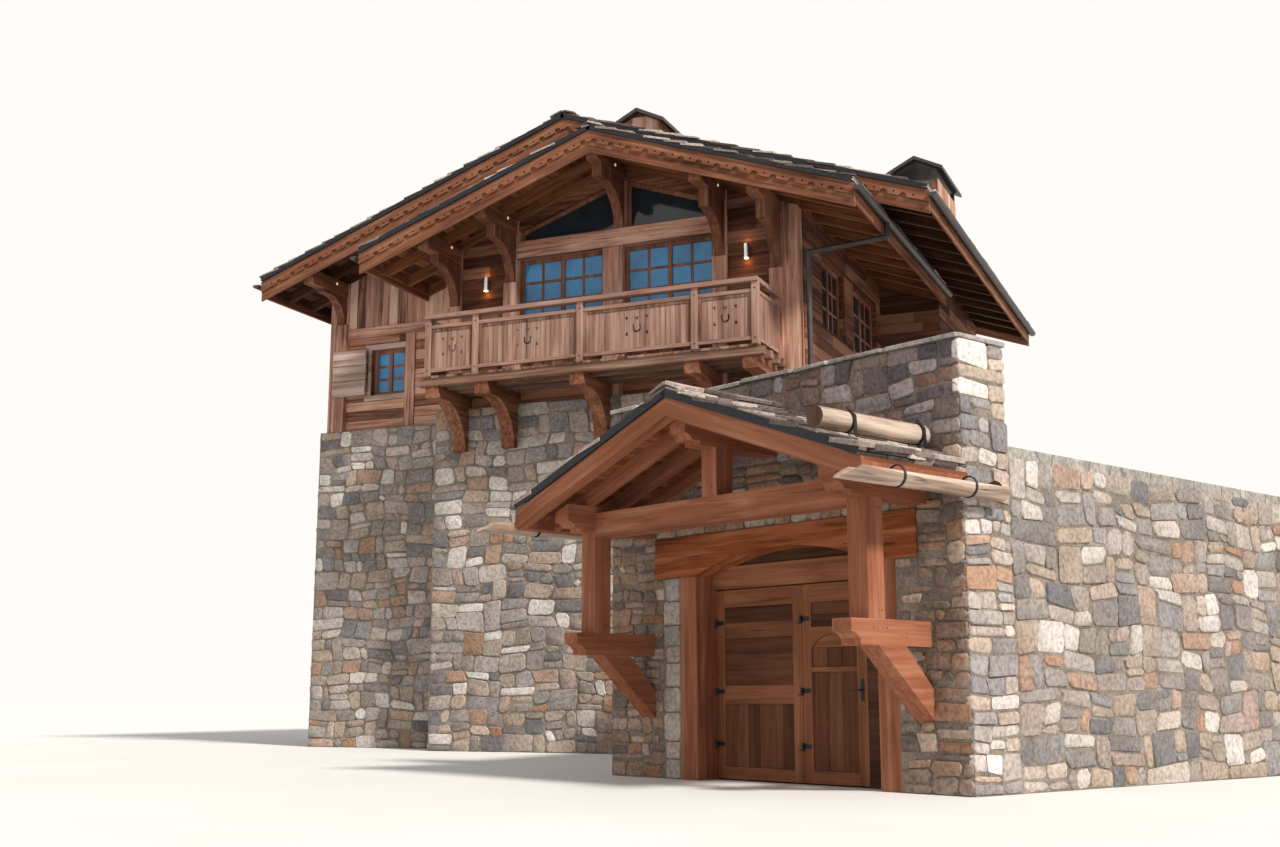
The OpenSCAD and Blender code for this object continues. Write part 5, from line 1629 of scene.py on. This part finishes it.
@dataclass(frozen=True)
class Window:
    """A window or glazed door with two leaves, and with panes across and up each leaf."""

    plane: Plane
    frame: Rect
    across: int
    rows: int

    # Width of the frame's members and of the bars, and depth of upright and of level bars.
    MEMBER = 0.075
    BAR = 0.05
    UPRIGHT_DEPTH = 0.036
    LEVEL_DEPTH = 0.038
    # How far level bars stand before the upright ones.
    STEP = 0.001

    def leaves(self) -> tuple[Span, Span]:
        """Gives the left and right end of the panes in both leaves."""
        middle, w = (self.frame[0] + self.frame[1]) / 2, self.MEMBER
        return (self.frame[0] + w, middle - w / 2), (middle + w / 2, self.frame[1] - w)

    def bars(self, pile: Pile, shape: Shape) -> None:
        """Adds the window's bars to a pile.

        Args:
            pile: The pile that takes the bars.
            shape: Block that each bar is a copy of.
        """
        half, v0, v1 = self.BAR / 2, self.frame[2] + self.MEMBER, self.frame[3] - self.MEMBER
        for u0, u1 in self.leaves():
            for i in range(1, self.across):
                u = u0 + (u1 - u0) * i / self.across
                pile.panel(shape, self.plane, (u - half, u + half, v0, v1), 0.0, self.UPRIGHT_DEPTH)
            for i in range(1, self.rows):
                v = v0 + (v1 - v0) * i / self.rows
                pile.panel(shape, self.plane, (u0, u1, v - half, v + half), self.STEP, self.LEVEL_DEPTH)


@dataclass
class UpperStorey:
    """Planks, posts, glazing bars and lamps of the timber storey.

    Side windows are given by their ends in Y, left and back ones by their lower end in Y and in X. The
    wing's band parts its level boards from its upright ones, and the stack is its left, front, width
    and depth.
    """

    finishes: Finishes
    sill: float = 7.15
    head: float = 8.4
    plain_width: float = 0.9
    side_windows: tuple[Span, ...] = ((1.3, 2.7), (3.3, 5.0))
    left_windows: tuple[float, ...] = (2.6, 5.7)
    back_windows: tuple[float, ...] = (-4.7, -1.45, 1.8)
    doors: tuple[Rect, ...] = ((-1.86, -0.185, 6.3, 8.58), (0.185, 1.86, 6.3, 8.58))
    kick_top: float = 6.74
    wing_window: Rect = (-5.59, -4.84, 6.6, 7.5)
    glass_setback: float = 0.107
    wing_band: Span = (7.76, 7.96)
    stack: Rect = (3.45, 6.4, 0.9, 1.7)
    stack_heights: Span = (9.2, 11.35)
    lamp_x: float = 2.47
    bevel: float = 0.005

    def hole(self, start: float) -> Rect:
        """Gives the hole of a plain window from its start along the wall."""
        return (start, start + self.plain_width, self.sill, self.head)

    def level_walls(self) -> dict[Cladding, list[BoardWall]]:
        """Lists the walls with level boards of each kind.

        Returns:
            The walls by their kind.
        """
        foot, band, start = STONE_TOP, self.wing_band[0], 0.25
        front = house_plane(Facing.FRONT, -3.0, 0.0), house_plane(Facing.FRONT, 2.11, 0.0)
        side = tuple((a - start, b - start, self.sill, self.head) for a, b in self.side_windows)
        wing_holes = ((0.5, 1.35, 6.55, 7.55), (1.33, 1.54, foot, band))
        back_holes, left_holes = (tuple(map(self.hole, starts)) for starts in ((1.8, 5.05, 8.3), (1.8, 4.9)))
        return {
            Cladding.FRONT: [
                BoardWall(front[0], 0.89, foot, 9.6, 41, gable=GableTop(3.14, 10.0)),
                BoardWall(front[1], 0.75, foot, 9.6, 42, gable=GableTop(-1.97, 10.0)),
                BoardWall(house_plane(Facing.FRONT, 3.33, 5.3), 1.17, foot, 8.87, 48)],
            Cladding.WING: [
                BoardWall(house_plane(Facing.FRONT, -6.14, 1.0), 2.81, foot, band, 44, wing_holes)],
            Cladding.BACK: [
                BoardWall(house_plane(Facing.BACK, 4.5, 8.4), 11.05, foot, 10.75, 46, back_holes,
                          GableTop(5.35, 10.75))],
            Cladding.SIDE: [
                BoardWall(house_plane(Facing.LEFT, -3.33, 1.0), 0.75, foot, 8.78, 43),
                BoardWall(house_plane(Facing.LEFT, -6.55, 8.4), 7.15, foot, 8.75, 45, left_holes),
                BoardWall(house_plane(Facing.RIGHT, 4.5, 5.3), 3.1, foot, 8.87, 47),
                BoardWall(house_plane(Facing.RIGHT, 3.33, start), 5.05, foot, 8.86, 49, side)]}

    def upright_walls(self) -> list[BoardWall]:
        """Lists the walls with upright boards: the wing's gable, the stack and the vent.

        Returns:
            The walls.
        """
        left, front, wide, deep = self.stack
        right, back = left + wide, front + deep
        sides = ((Facing.FRONT, left, front, wide), (Facing.RIGHT, right, front, deep),
                 (Facing.BACK, right, back, wide), (Facing.LEFT, left, back, deep))
        gable = BoardWall(house_plane(Facing.FRONT, -6.14, 1.0), 2.81, self.wing_band[1], 10.2, 51,
                          gable=GableTop(5.29, 10.75), pitch=0.19, upright=True)
        vent = BoardWall(house_plane(Facing.FRONT, -0.83, 2.0), 0.86, 10.6, 11.8, 56,
                         gable=GableTop(0.43, 11.87, 0.5), pitch=0.14, upright=True)
        low, high = self.stack_heights
        stack = [BoardWall(house_plane(facing, x, y), width, low, high, seed, pitch=0.15, upright=True)
                 for seed, (facing, x, y, width) in enumerate(sides, 52)]
        return [gable, *stack, vent]

    def build(self) -> None:
        """Builds the cladding, the bars, the trim and the lamps, and paints the framing."""
        t, board = self.finishes.timber, model_block(self.bevel)
        looks = {
            Cladding.FRONT: t("plank", DIM, Grain.X, toned=True),
            Cladding.SIDE: t("side_plank", DIM, Grain.Y, toned=True),
            Cladding.WING: t("wing_plank", TAWNY, Grain.X, toned=True),
            Cladding.BACK: t("back_plank", RUSSET, Grain.X, toned=True),
            Cladding.UPRIGHT: t("upright_plank", WEATHERED, Grain.Z, toned=True, contrast=0.8)}
        for kind, walls in (self.level_walls() | {Cladding.UPRIGHT: self.upright_walls()}).items():
            pile = Pile(kind.value)
            for wall in walls:
                wall.build(pile, board)
            pile.make(looks[kind], "plank_timber")
        self.framing()
        self.glazing()
        self.trim()
        self.spots()
        self.lamps()

    def framing(self) -> None:
        """Paints walls, posts, lintels, window frames, the shutter and the panes."""
        t = self.finishes.timber
        for node in ("bay_front_wall", "wing_front_wall", "rear_cross_walls", "chimney_stacks"):
            paint(node, t("log_wall", RUSSET, Grain.X, board=0.2))
        for node in ("bay_side_walls", "rear_side_walls"):
            paint(node, t("log_side", RUSSET, Grain.Y, board=0.2))
        paint("facade_posts", t("front_post", WEATHERED, Grain.Z, contrast=1.15, cracks=0.95))
        paint("lintel_beams", t("lintel", WEATHERED, Grain.X, contrast=1.15, cracks=0.95))
        paint("window_frames", t("window_frame", RUSSET, Grain.Z, rough=0.5))
        paint("shutter", t("shutter_board", PALE, Grain.X, board=0.3, across=Grain.Z, shift=0.12))
        paint("window_glass", self.finishes.glass, self.finishes.dim_glass, rule=self.is_dim)

    def is_dim(self, centre: Vector, normal: Vector) -> bool:
        """Tells whether a pane is in shade: those in the gable and those behind the front."""
        return centre.z > 8.9 or centre.y > 1.3

    def glazing(self) -> None:
        """Adds the glazing bars of every window and the kick boards of the balcony doors."""
        back, wide = self.glass_setback, self.plain_width
        front = house_plane(Facing.FRONT, 0.0, back)
        doors = [Window(front, frame, 2, 6) for frame in self.doors]
        windows = doors + [Window(house_plane(Facing.FRONT, 0.0, 1.0 + back), self.wing_window, 1, 3)]
        windows += [Window(house_plane(Facing.RIGHT, 3.33 - back, 0.0), (*span, self.sill, self.head), 2, 3)
                    for span in self.side_windows]
        windows += [Window(house_plane(Facing.LEFT, -6.55 + back, y + wide), self.hole(0.0), 1, 3)
                    for y in self.left_windows]
        windows += [Window(house_plane(Facing.BACK, x + wide, 8.4 - back), self.hole(0.0), 1, 3)
                    for x in self.back_windows]
        pile, shape = Pile("window_bars"), model_block(self.bevel)
        for window in windows:
            window.bars(pile, shape)
        pile.make(self.finishes.timber("window_bar", RUSSET, Grain.Z, rough=0.5), "window_timber")
        kicks, gap = Pile("door_kick_boards"), 0.002
        for door in doors:
            foot = door.frame[2] + door.MEMBER
            for a, b in door.leaves():
                step = (b - a) / 4
                for i, tone in enumerate((0.3, 0.6, 0.4, 0.7)):
                    board = (a + step * i + gap, a + step * (i + 1) - gap, foot, self.kick_top)
                    kicks.panel(shape, front, board, 0.008, 0.03, tone)
        kicks.make(self.finishes.timber("kick_board", RUSSET, Grain.Z, toned=True), "window_timber")

    def trim(self) -> None:
        """Adds the surround of the wing window and the battens of its shutter."""
        pile, shape, wall = Pile("window_trim"), model_block(self.bevel), house_plane(Facing.FRONT, 0.0, 1.0)
        left, _, sill, head = self.wing_window
        ends, width, batten = (-5.72, -4.81), 0.10, 0.11
        for low in (head, sill - width):
            pile.panel(shape, wall, (*ends, low, low + width), 0.045, 0.06, 0.7)
        pile.panel(shape, wall, (left - 0.07, left, sill, head), 0.035, 0.05, 0.6)
        shutter = house_plane(Facing.FRONT, 0.0, 0.86)
        for low in (6.66, 7.33):
            pile.panel(shape, shutter, (-6.385, -5.645, low, low + batten), 0.022, 0.03, 0.8)
        pile.make(self.finishes.timber("trim_board", PALE, Grain.X, toned=True), "window_timber")

    def spots(self) -> None:
        """Adds the small round spots on the braces under the eaves."""
        pile, shape, wide = Pile("eave_spots"), model_block(0.004, 0.016, 0.0, 1, 31), 0.05
        places = ((-3.02, -0.42, 8.82), (-1.88, -0.42, 9.22), (0.245, -0.5, 9.86), (2.09, -0.42, 9.25),
                  (-6.175, 0.55, 8.77))
        for place in places:
            pile.panel(shape, Plane(place, (0.0, 1.0, 0.0)), (0.0, wide, 0.0, wide), 0.012, 0.02)
        pile.make(self.finishes.spot, "lamp_steel")

    def lamps(self) -> None:
        """Adds the glowing mouths of the wall lamps and the light that they throw on the wall."""
        paint("wall_lamps", self.finishes.steel)
        pile, shape, wide = Pile("lamp_mouths"), model_block(self.bevel), 0.064
        for x in (-self.lamp_x, self.lamp_x):
            for z, power in ((8.0, 0.9), (8.37, 0.35)):
                self.small_light((x, -0.09, z), power)
            for z in (8.058, 8.305):
                mouth = Plane((x - wide / 2, -0.122, z), (1.0, 0.0, 0.0), (0.0, 1.0, 0.0))
                pile.panel(shape, mouth, (0.0, wide, 0.0, wide), 0.0, 0.012)
        pile.make(self.finishes.glow, "lamp_steel")

    def small_light(self, spot: Point, power: float) -> None:
        """Sets one small warm light.

        Args:
            spot: Its place.
            power: Its power in watts.
        """
        data = bpy.data.lights.new("lamp", "POINT")
        data.energy, data.color, data.shadow_soft_size = power, (1.0, 0.45, 0.15), 0.03
        add_object("lamp", data).location = spot


@dataclass
class Balcony:
    """Boards, rails and panels of the balcony. Posts are the X of the rail's posts, with panels between."""

    finishes: Finishes
    posts: tuple[float, ...] = (-2.975, -2.04, -0.07, 1.96, 2.975)
    half_post: float = 0.055
    post_top: float = 7.31
    panel_front: float = -1.14
    panel_heights: Span = (6.44, 7.145)
    stile: float = 0.062
    top_rail: float = 0.06
    peg: float = 0.024

    def build(self) -> None:
        """Paints the balcony, frames its panels and adds pegs to its posts."""
        t = self.finishes.timber
        paint("balcony_boards", t("balcony_board", AGED, Grain.Y, board=0.16, across=Grain.X))
        paint("balcony_joists", t("joist", AGED, Grain.X))
        paint("balcony_brackets", t("bracket", RUSSET, Grain.Y))
        paint("balcony_rail", t("hand_rail", ROSY, Grain.X, contrast=0.8),
              t("rail_post", ROSY, Grain.Z, contrast=0.8), rule=self.is_post)
        paint("balcony_panels", t("panel_board", ROSY, Grain.Z, board=0.09, across=Grain.X,
                                  contrast=0.8, cracks=0.5, seam=0.4, shift=0.14))
        self.frames()
        self.pegs()

    def frames(self) -> None:
        """Frames each panel at its sides and its top, in a darker tone that is partly painted shadow of the
        recessed panel.
        """
        pile, board = Pile("panel_frames"), model_block(0.003)
        front = house_plane(Facing.FRONT, 0.0, self.panel_front)
        foot, head = self.panel_heights
        for left, right in zip(self.posts, self.posts[1:]):
            a, b = left + self.half_post, right - self.half_post
            for r in ((a, a + self.stile, foot, head), (b - self.stile, b, foot, head),
                      (a + self.stile, b - self.stile, head - self.top_rail, head)):
                pile.panel(board, front, r, 0.010, 0.012, 0.4)
        pile.make(self.finishes.timber("shadow_panel_frame", AGED, Grain.Z, toned=True), "balcony_timber")

    def pegs(self) -> None:
        """Adds two pegs to each post."""
        pile, shape = Pile("rail_pegs"), model_block(0.004)
        for x in self.posts:
            for z in (6.39, 7.19):
                plane = Plane((x - self.peg / 2, -1.18, z), (1.0, 0.0, 0.0))
                pile.panel(shape, plane, (0.0, self.peg, 0.0, self.peg), 0.006, 0.02, 0.2)
        pile.make(self.finishes.iron, "iron")

    def is_post(self, centre: Vector, normal: Vector) -> bool:
        """Tells whether a face belongs to a railing post."""
        near = min(abs(centre.x - x) for x in self.posts) < self.half_post + 0.002
        return near and centre.y < -1.06 and centre.z < self.post_top


@dataclass
class Porch:
    """Timbers, logs and irons of the porch, in the garage's plan.

    Log fields belong to the two gutter logs and snow fields to the snow log: the height of the middle,
    the radius, and the Y of the straps.
    """

    finishes: Finishes
    log_z: float = 2.801
    log_radius: float = 0.095
    log_straps: Span = (-1.15, -0.12)
    snow_x: float = 4.0
    snow_z: float = 3.3764
    snow_radius: float = 0.1
    snow_straps: Span = (-1.12, -0.12)
    strap_thick: float = 0.007
    strap_widening: float = 2.6
    stay_width: float = 0.04

    def build(self) -> None:
        """Paints the porch and adds its straps, stays and pegs."""
        t = self.finishes.timber
        post = t("porch_post", SIENNA, Grain.Z, **PLANED)
        paint("porch_posts", post)
        paint("porch_brackets", t("porch_bracket", SIENNA, Grain.Y, **PLANED))
        paint("porch_truss", t("tie_beam", SIENNA, Grain.X, cracks=0.6, **IN_GARAGE), post,
              rule=lambda c, n: c.z > 2.93)
        paint("porch_beams", t("porch_beam", SIENNA, Grain.Y, **PLANED))
        paint("porch_logs", t("split_log", BLEACHED, Grain.Y, garage=True, contrast=1.3, cracks=1.0),
              t("log_end", LOG_END, Grain.Z, garage=True), rule=self.is_log_end)
        paint("arch_beam", t("arch_timber", ORANGE, Grain.X, garage=True, contrast=1.1, cracks=0.9))
        for x, z, r, straps in ((4.6, self.log_z, self.log_radius, self.log_straps),
                                (-0.71, self.log_z, self.log_radius, self.log_straps),
                                (self.snow_x, self.snow_z, self.snow_radius, self.snow_straps)):
            for y in straps:
                self.strap(f"log_strap_{abs(x):.1f}_{abs(y):.1f}", (x, y, z), r)
        self.stays()
        self.pegs()

    def is_log_end(self, centre: Vector, normal: Vector) -> bool:
        """Tells whether a face is the sawn end of a log."""
        return abs(normal.dot(Vector(garage_way(0, 1)))) > STRAIGHT

    def stays(self) -> None:
        """Adds the bent iron bars that hold the snow log from below."""
        pile, bar, z = Pile("log_stays"), model_block(0.002), self.snow_z
        bends = ((4.13, z - 0.14), (4.115, z + 0.05), (4.03, z + 0.14))
        for y in (strap - self.stay_width / 2 for strap in self.snow_straps):
            for (x0, z0), (x1, z1) in zip(bends, bends[1:]):
                foot, head = garage_point(x0, y, z0), garage_point(x1, y, z1)
                rise = np.array(head) - np.array(foot)
                length = float(np.linalg.norm(rise))
                plane = Plane(foot, garage_way(0, 1), tuple(rise / length))
                pile.panel(bar, plane, (0.0, self.stay_width, 0.0, length), 0.0, 0.012)
        pile.make(self.finishes.iron, "iron")

    def strap(self, name: str, place: Point, radius: float) -> None:
        """Adds an iron strap round a log.

        Args:
            name: Name of the piece.
            place: Middle of the log at the strap, in the garage's plan.
            radius: Radius of the log.
        """
        clear_selection()
        bpy.ops.mesh.primitive_torus_add(major_radius=radius + 0.003, minor_radius=self.strap_thick,
                                         major_segments=28, minor_segments=6)
        ring = bpy.context.object
        ring.name = ring.data.name = name
        bpy.ops.object.mode_set(mode="EDIT")
        bpy.ops.mesh.select_all(action="SELECT")
        bpy.ops.transform.resize(value=(1.0, 1.0, self.strap_widening))
        bpy.ops.object.mode_set(mode="OBJECT")
        ring.location, ring.rotation_euler = garage_point(*place), (math.pi / 2, 0.0, TURN)
        bpy.ops.object.transform_apply(location=True, rotation=True, scale=True)
        bpy.ops.object.shade_smooth()
        ring.data.materials.append(self.finishes.iron)
        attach(ring, HOUSE)

    def pegs(self) -> None:
        """Adds pairs of pegs at the joints of the porch, and single ones on its tie beam."""
        pile, peg, small, wide = Pile("porch_pegs"), model_block(0.004), 0.022, 0.024
        side = ((-0.86, 1.5), (-0.72, 1.5), (-0.45, 1.42), (-0.78, 1.66), (-0.78, 2.6))
        for x in (0.08, 4.03):
            for y, z in side:
                for beside in (0.0, 0.05):
                    plane = garage_plane(Facing.RIGHT, x, y + beside, z)
                    pile.panel(peg, plane, (0.0, small, 0.0, small), 0.004, 0.02, 0.2)
        for x, z in ((0.18, 2.78), (3.7, 2.78), (1.9, 2.86), (1.97, 3.0)):
            plane = garage_plane(Facing.FRONT, x, -0.91, z)
            pile.panel(peg, plane, (0.0, wide, 0.0, wide), 0.004, 0.02, 0.2)
        pile.make(self.finishes.timber("peg", RUSSET, Grain.Z), "porch_timber")


@dataclass
class GarageDoor:
    """Boards and irons of the two garage leaves and their surround, in the garage's plan.

    Wide and narrow are the ends of the leaves' sunk fields in X. Rails lie between heights.
    """

    finishes: Finishes
    face: float = 0.32
    wide: Span = (0.898, 1.938)
    narrow: Span = (2.206, 2.826)
    foot_rail: Span = (0.0, 0.145)
    head_rail: Span = (1.875, 2.1)
    lock_rail: Span = (0.82, 1.02)
    arch_rail: Span = (1.147, 1.197)
    upper_rail: Span = (1.4, 1.615)
    level_board: float = 0.17
    upright_board: float = 0.185
    head_board: Rect = (0.755, 3.355, 2.08, 2.33)
    head_face: float = 0.265
    bevel: float = 0.004

    def fields(self) -> tuple[tuple[str, Rect, bool], ...]:
        """Lists the sunk fields: body, rectangle, and whether their boards are level.

        Returns:
            The fields.
        """
        foot, head = self.foot_rail[1], self.head_rail[0]
        return (
            ("wide_door", (*self.wide, self.lock_rail[1], head), True),
            ("wide_door", (*self.wide, foot, self.lock_rail[0]), False),
            ("narrow_door", (*self.narrow, foot, self.arch_rail[0]), False),
            ("narrow_door", (*self.narrow, self.arch_rail[1], self.upper_rail[0]), False),
            ("narrow_door", (*self.narrow, self.upper_rail[1], head), True))

    def build(self) -> None:
        """Builds the field boards and the head board, and paints the door."""
        t, board, head = self.finishes.timber, model_block(self.bevel), Pile("head_board")
        head.panel(board, garage_plane(Facing.FRONT, 0, self.head_face), self.head_board, 0.0, 0.036, 0.6)
        head.make(t("head_timber", FRAME, Grain.X, toned=True, cracks=0.5, **IN_GARAGE), "door_timber")
        self.field_boards()
        leaves = (
            ("wide_leaf", "wide_frame", self.wide, (self.foot_rail, self.lock_rail, self.head_rail)),
            ("narrow_leaf", "narrow_frame", self.narrow,
             (self.foot_rail, self.arch_rail, self.upper_rail, self.head_rail)))
        for node, name, ends, rails in leaves:
            rects = tuple((*ends, *rail) for rail in rails)
            paint(node, t(name, FRAME, Grain.Z, cracks=0.4, rails=rects, **IN_GARAGE))
        paint("door_jambs", t("door_jamb", SIENNA, Grain.Z, cracks=0.5, **IN_GARAGE))
        # The transom and its side board are painted near-black as shade in the recess behind the head board.
        paint("door_transom", t("transom", DEEP_SHADE, Grain.X, cracks=0.4, **IN_GARAGE))
        for node in ("jamb_pintles", "wide_leaf_irons", "narrow_leaf_irons"):
            paint(node, self.finishes.iron)

    def field_boards(self) -> None:
        """Fills the sunk fields with level or upright boards that ride on their leaf."""
        piles = {(body, level): Pile(body + ("_slats" if level else "_boards"))
                 for body in ("wide_door", "narrow_door") for level in (True, False)}
        plane, board = garage_plane(Facing.FRONT, 0, self.face), model_block(self.bevel)
        rng = random.Random(9)
        for body, (a, b, low, high), level in self.fields():
            length, usual = (high - low, self.level_board) if level else (b - a, self.upright_board)
            count = max(2, round(length / usual))
            for i in range(count):
                start, end = length * i / count, length * (i + 1) / count
                if level:
                    r, out = (a, b, low + start + 0.001, low + end - 0.001), [0.012, 0.012, 0.006, 0.006]
                else:
                    r, out = (a + start + 0.0015, a + end - 0.0015, low, high), [0.008] * 4
                piles[body, level].lay(board, plane.quad(r, out), 0.012, rng.random())
        grains = {True: ("door_slat", Grain.X), False: ("door_board", Grain.Z)}
        for (body, level), pile in piles.items():
            name, grain = grains[level]
            # The boards' dark tone is partly the wood's colour and partly painted shade in the recess.
            look = self.finishes.timber(name, DOOR, grain, garage=True, toned=True, contrast=0.6)
            pile.make(look, "door_timber", body)


@dataclass
class Studio:
    """Floor, lamps, sky and camera. The focal length is in pixels of a photograph of the given width."""

    spot: Point = (10.20, -22.09, 0.87)
    turn: Point = (100.7, 0.0, 23.7)
    focal_pixels: float = 1459
    photo_width: float = 1280
    sensor: float = 36.0
    sky_light: float = 0.48
    sky_seen: float = 1.0
    sky_colour: Colour = (1.0, 0.98, 0.95)
    sun_colour: Colour = (1.0, 0.95, 0.88)

    def camera(self) -> None:
        """Places the camera."""
        data = bpy.data.cameras.new("view")
        data.lens, data.sensor_width = self.focal_pixels / self.photo_width * self.sensor, self.sensor
        data.clip_end = 500.0
        eye = add_object("view", data)
        eye.location = self.spot
        eye.rotation_euler = tuple(math.radians(a) for a in self.turn)
        bpy.context.scene.camera = eye

    def floor(self) -> None:
        """Lays the pale floor."""
        clear_selection()
        bpy.ops.mesh.primitive_plane_add(size=400.0, location=(0.0, 60.0, -0.002))
        ground = bpy.context.object
        ground.name = "floor"
        g = Graph("pale_floor")
        grey = g.ramp(g.noise(g.place(), 0.3, 2.0), ((0.4, (0.80, 0.80, 0.79)), (0.6, (0.82, 0.82, 0.81))))
        ground.data.materials.append(g.finish(grey, 0.9))

    def suns(self) -> None:
        """Sets the key and the fill light."""
        suns = (("key", 4.0, 8.0, (-0.68, 0.37, -0.62)), ("fill", 0.15, 40.0, (0.6, 0.7, -0.35)))
        for name, power, size, aim in suns:
            data = bpy.data.lights.new(name, "SUN")
            data.energy, data.angle, data.color = power, math.radians(size), self.sun_colour
            lamp = add_object(name, data)
            lamp.rotation_mode = "QUATERNION"
            lamp.rotation_quaternion = Vector(aim).to_track_quat("-Z", "Y")

    def sky(self) -> None:
        """Sets a world that looks white and is mirrored as white, and lights less than it looks."""
        world = bpy.data.worlds.new("studio")
        bpy.context.scene.world = world
        world.use_nodes = True
        tree = world.node_tree
        back = tree.nodes["Background"]
        back.inputs[0].default_value = (*self.sky_colour, 1.0)
        ray, power = tree.nodes.new("ShaderNodeLightPath"), tree.nodes.new("ShaderNodeMapRange")
        for key, value in (("To Min", self.sky_light), ("To Max", self.sky_seen)):
            power.inputs[key].default_value = value
        seen = ray.outputs["Is Camera Ray"]
        for kind in ("Is Glossy Ray", "Is Transmission Ray"):
            either = tree.nodes.new("ShaderNodeMath")
            either.operation = "MAXIMUM"
            tree.links.new(seen, either.inputs[0])
            tree.links.new(ray.outputs[kind], either.inputs[1])
            seen = either.outputs[0]
        tree.links.new(seen, power.inputs["Value"])
        tree.links.new(power.outputs[0], back.inputs[1])
        bpy.context.scene.view_settings.view_transform = "Standard"

    def build(self) -> None:
        """Builds the whole studio."""
        self.camera()
        self.floor()
        self.suns()
        self.sky()


def main() -> None:
    """Builds the scene in order."""
    logging.basicConfig(level=logging.INFO, format="%(message)s")
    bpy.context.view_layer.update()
    Studio().build()
    finishes = Finishes()
    for kind in (StoneWork, Roofs, UpperStorey, Balcony, Porch, GarageDoor):
        kind(finishes).build()
        LOG.info("%s is done", kind.__name__)


if __name__ == "__main__":
    main()
